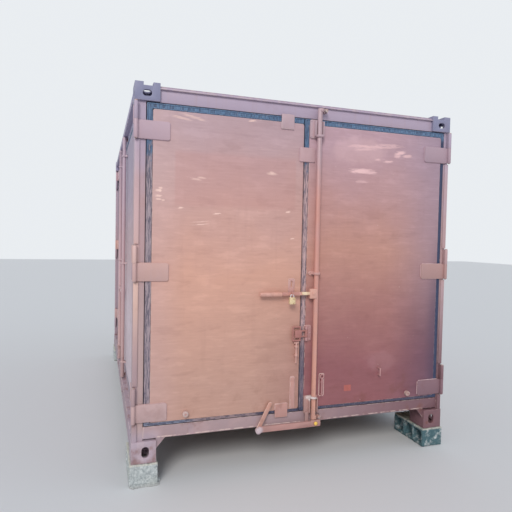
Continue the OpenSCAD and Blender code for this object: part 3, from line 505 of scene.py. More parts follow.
def left_leaf_tones(tree, place, color):
    """The left leaf: warm and light at waist height, greyer at its hinges, redder above the middle."""
    x, _, z = split(tree, place)
    color = blend(tree, 0.85, color, ramp(tree, drifting(tree, place, z, 0.35), LEFT_TONES))
    color = tinted(tree, step(tree, x, -0.85, -1.1), 0.4, color, (196, 162, 161))
    low_inner = times(tree, step(tree, x, -0.45, 0.0), step(tree, z, 1.5, 0.6))
    color = tinted(tree, low_inner, 0.6, color, (168, 122, 114))
    color = brushed(tree, place, color)
    field = times(tree, within(tree, x, -0.97, -0.085, 0.02), within(tree, z, 1.84, 2.25, 0.05))
    color = tinted(tree, field, 0.28, color, (188, 134, 128))
    return stroked(tree, place, color, LEFT_STROKES, (240, 204, 192))


def frame_tones(tree, place, color):
    """The frame: painted sunlight on the outer strip of the left front post, and painted shade: deep
    red-brown low on the right, lilac along the side and blue on its top rail.
    """
    x, y, z = split(tree, place)
    front = step(tree, y, -1.2, -1.7)
    # Painted sunlight: the outer strip of the left front post, salmon and light
    strip = times(tree, step(tree, x, -1.185, -1.192), step(tree, y, -1.81, -1.82))
    sunny = times(tree, strip, within(tree, z, 0.7, 2.35, 0.7))
    salmon = between(tree, step(tree, z, 1.1, 1.9), (224, 186, 168), (218, 182, 182))
    color = tinted(tree, sunny, 0.85, color, salmon)
    inner = times(tree, within(tree, x, -1.19, -1.14, 0.004), front, step(tree, z, 1.6, 1.0))
    color = tinted(tree, inner, 0.6, color, (200, 172, 166))
    foot = times(tree, step(tree, z, 0.4, 0.3), step(tree, x, -1.0, -1.1), front)
    color = tinted(tree, foot, 0.7, color, (184, 168, 182))
    corner = step(tree, calc(tree, "ABSOLUTE", x), 1.055, 1.065)
    head = times(tree, step(tree, z, 2.52, 2.54), corner, front)
    color = tinted(tree, head, 0.8, color, (122, 128, 158))
    # Painted shade: deep red-brown low on the right of the frame
    right_low_shade = times(tree, step(tree, x, -0.5, 1.15), step(tree, z, 1.5, 0.35), front)
    color = tinted(tree, right_low_shade, 0.9, color, (112, 76, 84))
    # Painted shade: lilac on the side of the frame, and blue on its top rail
    side = times(tree, step(tree, x, -1.13, -1.17), step(tree, y, -1.78, -1.7))
    color = tinted(tree, side, 0.4, color, (150, 138, 158))
    rail = times(tree, side, step(tree, z, 2.5, 2.55))
    return tinted(tree, rail, 0.4, color, (146, 148, 190))


def strap_tones(tree, place, color):
    """The hinge straps: the right ones darker and redder with painted shade, most low down, and bluer again
    at the top.
    """
    x, _, z = split(tree, place)
    # Painted shade on the right straps, deepest low down
    right = step(tree, x, 0.9, 1.0)
    color = tinted(tree, right, 0.8, color, (168, 132, 130))
    color = tinted(tree, times(tree, right, step(tree, z, 1.3, 0.7)), 0.85, color, (122, 92, 104))
    return tinted(tree, times(tree, right, step(tree, z, 1.9, 2.3)), 0.6, color, (170, 150, 168))


def weld_tones(tree, place, color):
    """The welds: lighter on the door's plates, and in broken patches at the right."""
    x, _, z = split(tree, place)
    broken = step(tree, noise(tree, place, 30.0, 4), 0.38, 0.55)
    right = times(tree, step(tree, x, 0.9, 0.95), broken, step(tree, z, 2.4, 1.0))
    inner = times(tree, within(tree, x, -0.7, 0.7, 0.01), step(tree, z, 2.0, 1.6))
    color = tinted(tree, inner, 0.4, color, (232, 196, 186))
    return tinted(tree, right, 0.8, color, (222, 196, 198))


def side_tones(tree, place, color):
    """The side doors: blue-grey painted shade under the top rail, where only sky lights them, and pale
    painted light low down.
    """
    z = split(tree, place)[2]
    # Painted shade under the top rail, then painted light low down
    color = tinted(tree, step(tree, z, 1.3, 2.4), 0.8, color, (146, 134, 156))
    color = tinted(tree, step(tree, z, 1.6, 0.9), 0.75, color, (214, 198, 206))
    color = brushed(tree, place, color)
    smear = noise(tree, place, 1.0, 5, stretch=(3, 3, 9), shift=(5, 5, 2))
    return tinted(tree, step(tree, smear, 0.56, 0.7), 0.16, color, (226, 214, 220))


def handle_tones(tree, place, color):
    """The handle: a link worn down to pale yellow metal, painted shade in broken patches on the grip, and a
    darker flat part.
    """
    x, _, z = split(tree, place)
    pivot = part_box("end_handle")[1][2] - 0.036
    link = times(tree, within(tree, x, -0.047, 0.016), within(tree, z, pivot - 0.012, pivot + 0.014))
    ends = step(tree, noise(tree, place, 70.0, 4), 0.42, 0.7)
    color = tinted(tree, link, 0.95, color, between(tree, ends, (236, 214, 180), (206, 160, 128)))
    # Painted shade on the grip, broken up by noise
    grip = times(tree, step(tree, x, -0.2, -0.21), step(tree, noise(tree, place, 40.0, 4), 0.45, 0.6))
    color = tinted(tree, grip, 0.2, color, (150, 100, 88))
    return tinted(tree, within(tree, x, -0.2, -0.06, 0.004), 0.55, color, (178, 118, 112))


def guide_tones(tree, place, color):
    """The rod's housings: a patch at the lower collar where the rod has rubbed the paint white."""
    collar = region(tree, place, (0.05, -1.85, 0.492), (0.045, 0.06, 0.02), 1.2)
    color = tinted(tree, collar, 0.9, color, (226, 216, 214))
    return tinted(tree, step(tree, split(tree, place)[2], 0.6, 0.35), 0.5, color, (166, 128, 124))


def bar_tones(tree, place, color):
    """The bottom bar: its left boss rubbed to a whitish mauve, and painted shade darkening the plate towards
    the ground.
    """
    boss = region(tree, place, (-0.354, -1.86, 0.296), (0.034, 0.06, 0.034), 0.6)
    color = tinted(tree, boss, 0.85, color, (206, 190, 196))
    # Painted shade on the lower side of the bar
    plate = region(tree, place, (0.02, -1.86, 0.285), (0.1, 0.06, 0.02), 0.8)
    return tinted(tree, plate, 0.4, color, (150, 110, 106))


STRAP = painted("strap_paint", (190, 164, 176), (205, 164, 154), (193, 162, 160), runs=0.2, dirt=0.1,
                rust=0.25, extra=strap_tones)
WELD = painted("weld_paint", (186, 160, 172), (198, 158, 150), (190, 156, 154), runs=0.1, dirt=0.1, rust=0.25,
               extra=weld_tones)
SIDE_ROD = painted("side_rod_paint", (186, 164, 178), (192, 164, 170), (194, 162, 160), dirt=0.2)
SIDE = painted("side_door_paint", (170, 152, 168), (188, 158, 160), (186, 158, 160), runs=0.3, dirt=0.2,
               rust=0.25, extra=side_tones)
# One finish for each material slot
FINISH = {
    "light_paint": painted("salmon_paint", (190, 163, 170), (207, 150, 139), (211, 154, 136), runs=0.15,
                           rust=0.3, dirt=0.4),
    "dark_paint": painted("deep_paint", (196, 165, 170), (190, 138, 132), (150, 92, 92), runs=0.12,
                          rust=0.35),
    "faded_paint": painted("frame_paint", (178, 161, 180), (188, 154, 154), (176, 148, 150), dirt=0.3,
                           extra=frame_tones),
}
# The finishes of single nodes, where they differ from their slot's
OWN = {
    "left_end_leaf": painted("left_leaf_paint", (188, 161, 170), (207, 152, 141), (209, 158, 142), runs=0.1,
                             scrapes=0.25, rust=0.2, dirt=0.06, extra=left_leaf_tones),
    "right_end_leaf": painted("right_leaf_paint", (196, 167, 173), (192, 140, 133), (156, 98, 98), runs=0.1,
                              scrapes=0.3, rust=0.3, dirt=0.3, extra=right_leaf_tones),
    "end_handle": painted("handle_paint", (190, 163, 167), (214, 162, 146), (214, 162, 146), dirt=0.1,
                          extra=handle_tones),
    "end_rod_guides": painted("housing_paint", (186, 160, 168), (203, 156, 148), (190, 146, 138),
                              extra=guide_tones),
    "right_end_plates": painted("pull_paint", (196, 165, 170), (188, 140, 136), (184, 136, 136), runs=0.1,
                                dirt=0.1, rust=0.3),
    "bottom_bar": painted("bar_paint", (190, 150, 145), (184, 138, 132), (184, 138, 132), dirt=0.3,
                          extra=bar_tones),
    "left_end_plates": painted("plate_paint", (190, 163, 170), (204, 154, 146), (194, 144, 134), runs=0.15,
                               dirt=0.15, rust=0.4),
}
for node, name, tone, rust in (("latch_flap", "latch_paint", (172, 116, 110), 0.8),
                               ("bumper", "bumper_rubber", (226, 196, 190), 0.6),
                               ("drop_pin", "pin_paint", (206, 160, 150), 0.9)):
    OWN[node] = painted(name, tone, tone, tone, rust=rust)
for door in ("near_side", "far_side"):
    OWN.update({door + "_leaf": SIDE, door + "_straps": STRAP})
for node in ("near_lock_rod", "far_lock_rod", "near_rod_guides", "far_rod_guides"):
    OWN[node] = SIDE_ROD
for node in ("left_end_straps", "right_end_straps"):
    OWN[node] = STRAP
print("own finishes:", sorted(OWN))

# %% [markdown]
# ## Rubber, steel, brass, concrete and timber
#
# The seals were painted over with the container; the paint has flaked off the flexing rubber and left
# blue-black patches. Pins and keepers are galvanised and worn by use. The padlock is dull brass. The blocks
# are coarse concrete with pores, and the floor is brown, scuffed boards.

# %% The other finishes
def rubber():
    """Blue rubber, bare along the top and down the right, under pale paint that flakes off upright."""
    mat, tree, place = new_material("seal_rubber")
    x, _, z = split(tree, place)
    flake = noise(tree, place, 1.0, 8, stretch=(60, 60, 22))
    broad = noise(tree, place, 5.0, 5, shift=(6, 1, 2))
    kept = calc(tree, "ADD", times(tree, flake, 0.7), times(tree, broad, 0.3))
    kept = calc(tree, "ADD", kept, times(tree, step(tree, z, 2.42, 2.0), 0.25))
    kept = calc(tree, "SUBTRACT", kept, times(tree, step(tree, x, 1.08, 1.13), 0.3))
    speckle = noise(tree, place, 30.0, 4)
    blue = between(tree, speckle, (78, 110, 146), (112, 138, 166))
    clean = blend(tree, step(tree, z, 2.44, 2.49), between(tree, speckle, (46, 56, 86), (74, 84, 114)), blue)
    upper_left = times(tree, step(tree, x, 1.0, 0.6), step(tree, z, 1.9, 2.2))
    clean = tinted(tree, upper_left, 0.8, clean, blue)
    middle = within(tree, x, -0.1, 0.1, 0.01)
    coat = between(tree, broad, (150, 134, 144), (184, 166, 170))
    coat = tinted(tree, times(tree, middle, within(tree, z, 0.7, 2.4, 0.3)), 0.8, coat, (200, 166, 164))
    coat = tinted(tree, times(tree, middle, step(tree, z, 1.05, 0.8)), 0.75, coat, (108, 94, 108))
    foot = step(tree, z, 0.425, 0.415)
    sill_coat = between(tree, step(tree, x, -0.9, -0.75), (118, 126, 146), (150, 128, 130))
    sill_coat = blend(tree, step(tree, x, -0.42, -0.3), sill_coat, linear(70, 70, 92))
    coat = tinted(tree, foot, 0.9, coat, sill_coat)
    color = blend(tree, step(tree, kept, 0.56, 0.7), clean, coat)
    upright = step(tree, noise(tree, place, 1.0, 7, stretch=(200, 200, 14), shift=(4, 4, 1)), 0.47, 0.56)
    level = step(tree, noise(tree, place, 1.0, 6, stretch=(30, 60, 150), shift=(4, 4, 1)), 0.48, 0.56)
    color = tinted(tree, blend(tree, foot, upright, level), 0.68, color, (52, 56, 82))
    fleck = step(tree, noise(tree, place, 1.0, 7, stretch=(160, 160, 30), shift=(8, 1, 6)), 0.6, 0.66)
    color = tinted(tree, times(tree, fleck, step(tree, kept, 0.5, 0.6)), 0.6, color, (184, 164, 168))
    # Painted shade: the rounded edges of the seals darkened to blue-black
    color = tinted(tree, edge_wear_and_shade(tree), 0.4, color, (60, 60, 82))
    surface(tree, color, spread(tree, flake, (0.3, 0.7), (0.5, 0.75)), kept, 0.5, 0.0015)
    return mat


def worn_steel():
    """Galvanised steel with blotches where the zinc is gone: dull, brown and without a metal's shine."""
    mat, tree, place = new_material("worn_steel")
    spots = noise(tree, place, 30.0, 6)
    color = between(tree, step(tree, spots, 0.42, 0.62), (196, 178, 176), (168, 126, 116))
    metal = step(tree, spots, 0.6, 0.4)
    surface(tree, color, spread(tree, spots, (0.3, 0.7), (0.35, 0.6)), spots, 0.4, 0.001, metal)
    return mat


def dull_brass(name, light, dark):
    """Stained brass with fine upright lines. The padlock's shackle, at its top, is bright steel."""
    mat, tree, place = new_material(name)
    stain = noise(tree, place, 60.0, 5)
    lines = noise(tree, place, 1.0, 2, stretch=(900, 900, 60))
    color = between(tree, step(tree, stain, 0.45, 0.75), light, dark)
    lock_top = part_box("padlock")[1][2]
    shackle = step(tree, split(tree, place)[2], lock_top - 0.024, lock_top - 0.02)
    color = blend(tree, shackle, color, linear(214, 212, 216))
    surface(tree, color, spread(tree, stain, (0.3, 0.7), (0.28, 0.5)), lines, 0.2, 0.0004, 0.3)
    return mat


def coarse_concrete():
    """Coarse grey concrete: light grains, dark pores, a pale rim of mortar at the top, and moss with painted
    shade on the right.
    """
    mat, tree, place = new_material("coarse_concrete")
    x, _, z = split(tree, place)
    cells = add(tree, "TexVoronoi", {"Vector": place, "Scale": 120.0})
    grain = noise(tree, place, 85.0, 7)
    stain = noise(tree, place, 7.0, 6)
    color = between(tree, step(tree, grain, 0.3, 0.7), (152, 160, 162), (204, 209, 208))
    color = tinted(tree, step(tree, stain, 0.42, 0.7), 0.35, color, (166, 170, 164))
    color = tinted(tree, step(tree, cells, 0.2, 0.08), 0.5, color, (108, 116, 114))
    color = tinted(tree, step(tree, z, 0.03, 0.0), 0.4, color, (150, 142, 138))
    # Moss and painted shade: the right block dark blue-green in clumps
    clumps = step(tree, noise(tree, place, 24.0, 7, shift=(2, 3, 1)), 0.3, 0.52)
    moss_and_shade = times(tree, step(tree, x, 0.4, 1.0), clumps)
    color = tinted(tree, moss_and_shade, 0.93, color, between(tree, grain, (28, 66, 76), (74, 112, 120)))
    rim = times(tree, step(tree, z, 0.132, 0.144), step(tree, noise(tree, place, 18.0, 5), 0.3, 0.5))
    color = tinted(tree, rim, 0.7, color, (204, 200, 186))
    pores = times(tree, step(tree, cells, 0.12, 0.3), calc(tree, "ADD", grain, 0.4))
    surface(tree, color, 0.95, pores, 0.9, 0.003)
    return mat


def floor_wood():
    """Brown boards with a grain along the container and grey scuffs."""
    mat, tree, place = new_material("floor_wood")
    grain = noise(tree, place, 1.0, 6, stretch=(70, 3, 70))
    rings = noise(tree, place, 1.0, 3, stretch=(9, 0.7, 9), shift=(4, 4, 4))
    scuff = noise(tree, place, 7.0, 6)
    color = between(tree, grain, (112, 84, 60), (164, 132, 98))
    color = tinted(tree, step(tree, rings, 0.45, 0.7), 0.4, color, (92, 68, 50))
    color = tinted(tree, step(tree, scuff, 0.5, 0.8), 0.6, color, (150, 142, 130))
    surface(tree, color, spread(tree, scuff, (0.3, 0.7), (0.55, 0.85)), grain, 0.4, 0.001)
    return mat


FINISH.update(seal_rubber=rubber(), bare_steel=worn_steel(), concrete=coarse_concrete(),
              floor_timber=floor_wood(),
              lock_brass=dull_brass("dull_brass", (236, 212, 170), (180, 146, 104)))
print("finishes:", sorted(FINISH))

# %% [markdown]
# ## Soft edges on every solid
#
# Rolled and pressed steel has no knife edges. Each solid's mesh is copied, its triangles are merged back
# into flat faces, and its sharp edges are rounded by one to four millimetres. The new faces of the rounding
# get the attribute `worn`, which the paint reads to wear through there first.

# %% Dress each CAD node with rounded edges and its finish
def dressed(node, width, segments=2, sharp=35):
    """A CAD node's mesh with every edge rounded that bends by more than sharp degrees."""
    bm = bmesh.new()
    bm.from_mesh(NODES[node].data)
    bmesh.ops.remove_doubles(bm, verts=bm.verts, dist=1e-5)
    bmesh.ops.dissolve_limit(bm, angle_limit=math.radians(1), verts=bm.verts, edges=bm.edges)
    worn = bm.faces.layers.float.new("worn")
    bm.normal_update()
    edges = [e for e in bm.edges if len(e.link_faces) == 2 and e.calc_face_angle(0) > math.radians(sharp)]
    made = bmesh.ops.bevel(bm, geom=edges, offset=width, segments=segments, profile=0.5, affect="EDGES",
                           clamp_overlap=True)
    for f in made["faces"]:
        f[worn] = 1.0
    for f in bm.faces:
        f.smooth = True
    return finish_mesh(bm, node + "_look", node)


def finish_mesh(bm, name, node, sharp=40):
    """Turns a bmesh into a piece that stands for a CAD node, with the node's body, slot and finish."""
    mesh = bpy.data.meshes.new(name)
    bm.to_mesh(mesh)
    bm.free()
    mesh.set_sharp_from_angle(angle=math.radians(sharp))
    obj = bpy.data.objects.new(name, mesh)
    scene.collection.objects.link(obj)
    mesh.materials.append(OWN.get(node, FINISH[SLOT_OF[node]]))
    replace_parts(obj, node)
    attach(obj, NODES[node]["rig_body"])
    return obj


# Width of the rounding in metres, by slot
WIDTH = {"concrete": 0.004, "seal_rubber": 0.003, "lock_brass": 0.0012, "bare_steel": 0.001}
PLATE_WIDTH = 0.0022
LOOK = {}
for name in sorted(set(NODES) - {"floor"}):
    LOOK[name] = dressed(name, WIDTH.get(SLOT_OF[name], PLATE_WIDTH))
print("dressed", len(LOOK), "nodes,", sum(len(o.data.polygons) for o in LOOK.values()), "faces")

# %% [markdown]
# ## Shapes made with numpy
#
# The small additions are all one of two kinds. A bead, lip or board is a flat outline, the profile, carried
# along a path. A rivet, screw or nut is a profile turned about an axis. Both are grids of points, worked out
# as whole arrays, and a grid becomes a mesh by joining each point with its neighbours. Sizes are written in
# the container's own millimetres, counted from the middle of the door end's foot.

# %% Grids, sweeps and turned shapes
SHIFT = np.array([0, -1832.0, 150.0])  # from the container's own origin to the scene's, in millimetres
OUT_END, OUT_SIDE = (0, -1, 0), (-1, 0, 0)  # ways out of the end doors and of the side doors
ALONG = {OUT_END: 0, OUT_SIDE: 1}  # the axis that runs along each


def mm(points):
    """Points in the container's own millimetres as scene metres."""
    return (np.asarray(points, float) + SHIFT) / 1000


def own(points):
    """Scene metres as the container's own millimetres."""
    return np.asarray(points, float) * 1000 - SHIFT


def closed_grid(grid, ring=False):
    """Vertices, quads and end caps of a tube of points grid[s, t]. t goes round, and with ring so does s."""
    rows, cols = grid.shape[:2]
    index = np.arange(rows * cols).reshape(rows, cols)
    if ring:
        index = np.vstack([index, index[:1]])
    a, b = index[:-1], index[1:]
    quads = np.stack([a, np.roll(a, -1, 1), np.roll(b, -1, 1), b], axis=-1).reshape(-1, 4)
    caps = [] if ring else [index[0][::-1].tolist(), index[-1].tolist()]
    return grid.reshape(-1, 3), quads, caps


def sweep(path, normal, profile, ring=False, swell=None):
    """Profile carried along a flat path: point (s, t) is path[s] + a[t] * across[s] + b[t] * normal, where
    across lies in the path's plane and is lengthened at corners, so that the bead keeps its width there."""
    path, normal, profile = (np.asarray(v, float) for v in (path, normal, profile))
    ahead = np.roll(path, -1, 0) - path
    if not ring:
        ahead[-1] = ahead[-2]
    ahead /= np.linalg.norm(ahead, axis=1, keepdims=True)
    behind = np.roll(ahead, 1, 0)
    if not ring:
        behind[0] = ahead[0]
    across = np.cross(normal, ahead + behind)
    across /= np.linalg.norm(across, axis=1, keepdims=True)
    across /= np.maximum(np.sum(across * np.cross(normal, ahead), axis=1, keepdims=True), 0.6)
    size = np.ones(len(path)) if swell is None else swell
    offset = profile[None, :, :1] * across[:, None] + profile[None, :, 1:] * normal
    return closed_grid(path[:, None] + size[:, None, None] * offset, ring)


def evenly(corners, spacing, ring=False):
    """The same line with points about every spacing metres, found by its length along."""
    corners = np.asarray(corners, float)
    if ring:
        corners = np.vstack([corners, corners[:1]])
    length = np.concatenate([[0], np.cumsum(np.linalg.norm(np.diff(corners, axis=0), axis=1))])
    count = max(int(length[-1] / spacing), 2)
    at = np.linspace(0, length[-1], count + 1)
    if ring:
        at = at[:-1]
    return np.stack([np.interp(at, length, corners[:, k]) for k in range(3)], axis=1)


def turned(radius, height, place, axis, sides=14, hexed=False):
    """Profile turned about an axis: point (t, a) is place + radius[t] (cos a u + sin a v) + height[t] axis.
    With hexed, the radius is divided by the cosine of the angle from the nearest flat, which makes a nut."""
    radius, height, place, axis = (np.asarray(v, float) for v in (radius, height, place, axis))
    u = np.cross(axis, [0.31, 0.52, 0.79])
    u /= np.linalg.norm(u)
    v = np.cross(axis, u)
    angle = np.linspace(0, 2 * np.pi, sides, endpoint=False)
    stretch = 1 / np.cos((angle + np.pi / 6) % (np.pi / 3) - np.pi / 6) if hexed else np.ones(sides)
    flat = np.cos(angle)[:, None] * u + np.sin(angle)[:, None] * v
    grid = place + radius[:, None, None] * stretch[None, :, None] * flat[None] + height[:, None, None] * axis
    return closed_grid(grid)


def lathe(radius, height, spot, out, sides, hexed=False):
    """A turned shape with its profile and its spot in millimetres."""
    return turned(np.array(radius) / 1000, np.array(height) / 1000, mm([spot])[0], out, sides, hexed)


def piece(name, parts, body, slot, finish=None, sharp=40):
    """One mesh of several grids, which rides on a body and has a finish of its own or its slot's."""
    start = np.cumsum([0] + [len(p[0]) for p in parts])
    faces = np.vstack([p[1] + s for p, s in zip(parts, start)]).tolist()
    faces += [[k + int(s) for k in cap] for p, s in zip(parts, start) for cap in p[2]]
    mesh = bpy.data.meshes.new(name)
    mesh.from_pydata(np.vstack([p[0] for p in parts]).tolist(), [], faces)
    bm = bmesh.new()
    bm.from_mesh(mesh)
    bmesh.ops.recalc_face_normals(bm, faces=bm.faces)
    for f in bm.faces:
        f.smooth = True
    bm.to_mesh(mesh)
    bm.free()
    mesh.set_sharp_from_angle(angle=math.radians(sharp))
    mesh.materials.append(finish or FINISH[slot])
    obj = bpy.data.objects.new(name, mesh)
    scene.collection.objects.link(obj)
    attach(obj, body)
    print(name, len(faces), "faces")
    return obj


def half_round(width, height, sunk, count=8):
    """Outline of a bead: half an ellipse, closed by a flat that is sunk into what it lies on."""
    angle = np.linspace(0, np.pi, count)
    arc = np.stack([width * np.cos(angle), height * np.sin(angle)], axis=1)
    return np.vstack([arc, [[-width, -sunk], [width, -sunk]]])


def round_frame(a0, a1, b0, b1, r, count=5):
    """Outline of a rectangle with rounded corners, from quarter circles about four centres."""
    angle = np.linspace(0, np.pi / 2, count)
    turns = [angle + k * np.pi / 2 for k in range(4)]
    centres = [(a1 - r, b1 - r), (a0 + r, b1 - r), (a0 + r, b0 + r), (a1 - r, b0 + r)]
    return np.vstack([np.stack([ca + r * np.cos(t), cb + r * np.sin(t)], axis=1)
                      for (ca, cb), t in zip(centres, turns)])


def on_door(flat, depth, out):
    """Flat points, each a distance along the door and a height, laid in a plane at a depth."""
    along, up = np.asarray(flat, float).T
    level = np.full(len(up), float(depth))
    return mm(np.stack([along, level, up] if ALONG[out] == 0 else [level, along, up], axis=1))


def solids(node):
    """Lowest and highest corner of each separate solid of a node, in millimetres. Each point starts with a
    number of its own, and the ends of an edge take the smaller of theirs until none changes."""
    mesh = bpy.data.meshes.new("joined")
    bm = bmesh.new()
    bm.from_mesh(NODES[node].data)
    bmesh.ops.remove_doubles(bm, verts=bm.verts, dist=1e-5)
    bm.to_mesh(mesh)
    bm.free()
    points, edges = np.empty(len(mesh.vertices) * 3), np.empty(len(mesh.edges) * 2, int)
    mesh.vertices.foreach_get("co", points)
    mesh.edges.foreach_get("vertices", edges)
    bpy.data.meshes.remove(mesh)
    points, label, before = own(points.reshape(-1, 3)), np.arange(len(points) // 3), None
    while not np.array_equal(label, before):
        before = label.copy()
        np.minimum.at(label, edges, np.repeat(before[edges].reshape(-1, 2).min(axis=1), 2))
    groups = [points[label == k] for k in np.unique(label)]
    return sorted(((g.min(axis=0), g.max(axis=0)) for g in groups), key=lambda b: tuple(b[0].round(1)))


def own_box(node):
    """The box of a whole node, in millimetres."""
    return [own(corner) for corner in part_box(node)]


LEAF_FRONT_END, LEAF_FRONT_SIDE = solids("left_end_leaf")[0][0][1], solids("near_side_leaf")[0][0][0]
print("leaf fronts at", round(LEAF_FRONT_END, 1), "and", round(LEAF_FRONT_SIDE, 1), "mm")

# %% [markdown]
# ## Rubber lips of the door seals
#
# A container seal is an extruded rubber section: a flat body that is clamped to the leaf, with raised lips
# that press on the frame. The CAD seal is the body. Two lips are swept round it, one near the leaf's edge
# and one near the frame, so that the band between leaf and post shows the two dark lines of the photograph.

# %% Lips of the four seals
LIP = half_round(0.0042, 0.0034, 0.002)


def lips(door, out, front, open_side=False):
    """Two lips along a seal: one 6 mm inside its outline, one 6 mm outside the leaf. Where the seal is open
    towards the other leaf, the lips stop at this leaf's edge."""
    seal, axis, margin = door + "_seal", ALONG[out], 6
    leaf_edge = solids(door + "_leaf")[0][1][axis]
    parts = []
    for node, inset, radius in ((seal, margin, 8), (door + "_leaf", -margin, 20)):
        lo, hi = solids(node)[0]
        near, far, foot, head = lo[axis] + inset, hi[axis] - inset, lo[2] + inset, hi[2] - inset
        if open_side:
            line = [(leaf_edge, head), (near, head), (near, foot), (leaf_edge, foot)]
        else:
            line = round_frame(near, far, foot, head, radius)
        parts.append(sweep(on_door(line, front, out), out, LIP, ring=not open_side))
    piece(door + "_lips", parts, NODES[seal]["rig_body"], "seal_rubber")


end_front, side_front = solids("left_end_seal")[0][0][1], solids("near_side_seal")[0][0][0]
lips("left_end", OUT_END, end_front, open_side=True)
lips("right_end", OUT_END, end_front)
lips("near_side", OUT_SIDE, side_front, open_side=True)
lips("far_side", OUT_SIDE, side_front)

# %% [markdown]
# ## Weld beads
#
# Straps, plates and knuckles are welded on, and a weld is a row of small overlapping scales. A half-round
# bead is carried round each plate, and its size swells and shrinks along the way: 1 + 0.2 times the sine of
# the distance over the scale's length, with a slower, seeded wander on top.

# %% Weld beads along straps and plates
rng = np.random.default_rng(11)
BEAD = half_round(0.0032, 0.0024, 0.0012, 6)


def weld(corners, out, ring=False, spacing=0.0035):
    """A bead along a line, with a scale about every three points."""
    path = evenly(corners, spacing, ring)
    s = np.arange(len(path))
    wander = np.interp(s, s[::9], rng.uniform(-0.22, 0.22, len(s[::9])))
    return sweep(path, out, BEAD, ring, 1 + 0.2 * np.sin(s * 2.1) + wander)


def strap_welds(node, out, face, away):
    """Welds on three edges of each strap plate: both long edges and the end far from the hinge. Away is 1
    where that end lies on the high side of its axis, and -1 where it lies on the low side."""
    axis, knuckle, corner = ALONG[out], 45, 12
    parts = []
    for lo, hi in solids(node):
        near, far = (lo[axis] + knuckle, hi[axis]) if away > 0 else (hi[axis] - knuckle, lo[axis])
        bend = far - corner * away
        line = [(near, hi[2]), (bend, hi[2]), (far, hi[2] - corner),
                (far, lo[2] + corner), (bend, lo[2]), (near, lo[2])]
        parts.append(weld(on_door(line, face, out), out))
    return parts


WELDS = {"left_end_door": strap_welds("left_end_straps", OUT_END, LEAF_FRONT_END, 1),
         "right_end_door": strap_welds("right_end_straps", OUT_END, LEAF_FRONT_END, -1),
         "near_side_door": strap_welds("near_side_straps", OUT_SIDE, LEAF_FRONT_SIDE, 1),
         "far_side_door": strap_welds("far_side_straps", OUT_SIDE, LEAF_FRONT_SIDE, -1)}
# Welds round a plate stay between two heights, and plates that are narrower or shorter than this have none
LEAF_FOOT, LEAF_HEAD, NARROW, SHORT, LEAVES_MEET = 268, 2333, 30, 60, -60
for lo, hi in solids("left_end_plates") + solids("right_end_plates"):
    short, long = sorted((hi - lo)[[0, 2]])
    if short > NARROW and long > SHORT and abs(hi[1] - LEAF_FRONT_END) < 1:
        body = "left_end_door" if (lo[0] + hi[0]) / 2 < LEAVES_MEET else "right_end_door"
        outline = round_frame(lo[0], hi[0], max(lo[2], LEAF_FOOT), min(hi[2], LEAF_HEAD), 8)
        WELDS[body].append(weld(on_door(outline, LEAF_FRONT_END, OUT_END), OUT_END, ring=True))
for body, parts in WELDS.items():
    piece(body + "_welds", parts, body, "faded_paint", WELD)

# %% [markdown]
# ## Rough concrete blocks
#
# A hollow block is cast from coarse, dry concrete, so its faces are grainy and its edges crumble. The CAD
# block's surface is rebuilt in small squares of 6 mm, and each point is then pushed inwards by three noises,
# each a sum of waves in random directions: a fine one, a broad one raised to a power, and one that counts
# only where it peaks, which makes pits. No point moves outwards, so the block keeps its size.

# %% Eroded blocks
def waves(points, size, count, seed):
    """Smooth noise between 0 and 1 from sine waves of about the given size, in random directions: their sum
    over the root of their count, bounded by a hyperbolic tangent."""
    r = np.random.default_rng(seed)
    way = r.normal(size=(count, 3))
    way /= np.linalg.norm(way, axis=1, keepdims=True)
    way *= 2 * np.pi / (size * r.uniform(0.6, 1.6, (count, 1)))
    total = np.sin(points @ way.T + r.uniform(0, 2 * np.pi, count)).sum(axis=1)
    return 0.5 + 0.5 * np.tanh(total / math.sqrt(count))


def eroded_blocks():
    """Moves each point of the remeshed blocks inwards: fine grain, broad wear, and pits at noise peaks."""
    obj = LOOK["stand_blocks"]
    remesh = obj.modifiers.new("squares", "REMESH")
    remesh.mode = "VOXEL"
    remesh.voxel_size = 0.0062
    remesh.use_smooth_shade = True
    graph = bpy.context.evaluated_depsgraph_get()
    mesh = bpy.data.meshes.new_from_object(obj.evaluated_get(graph))
    obj.modifiers.clear()
    obj.data = mesh
    count = len(mesh.vertices)
    points, normals = np.empty(count * 3), np.empty(count * 3)
    mesh.vertices.foreach_get("co", points)
    mesh.vertices.foreach_get("normal", normals)
    points, normals = points.reshape(-1, 3), normals.reshape(-1, 3)
    depth = 0.0022 * waves(points, 0.016, 40, 1) + 0.004 * waves(points, 0.05, 40, 2) ** 3
    depth += 0.007 * np.clip(waves(points, 0.03, 30, 3) - 0.86, 0, 1) / 0.14
    points -= normals * depth[:, None]
    points[:, 2] = np.clip(points[:, 2], 0.0, 0.1498)
    mesh.vertices.foreach_set("co", points.ravel())
    mesh.update()
    print("blocks", len(mesh.polygons), "faces, at most", round(float(depth.max()) * 1000, 1), "mm worn away")


eroded_blocks()

# %% [markdown]
# ## Mortar at the foot of the front left block
#
# The front left block stands in a spill of mortar. It is a half-round ridge along the foot of the block,
# with a radius that wanders between 11 and 24 mm and shrinks at its ends, and lumps on its surface. It lies
# against the block's front and inner faces, on the ground.

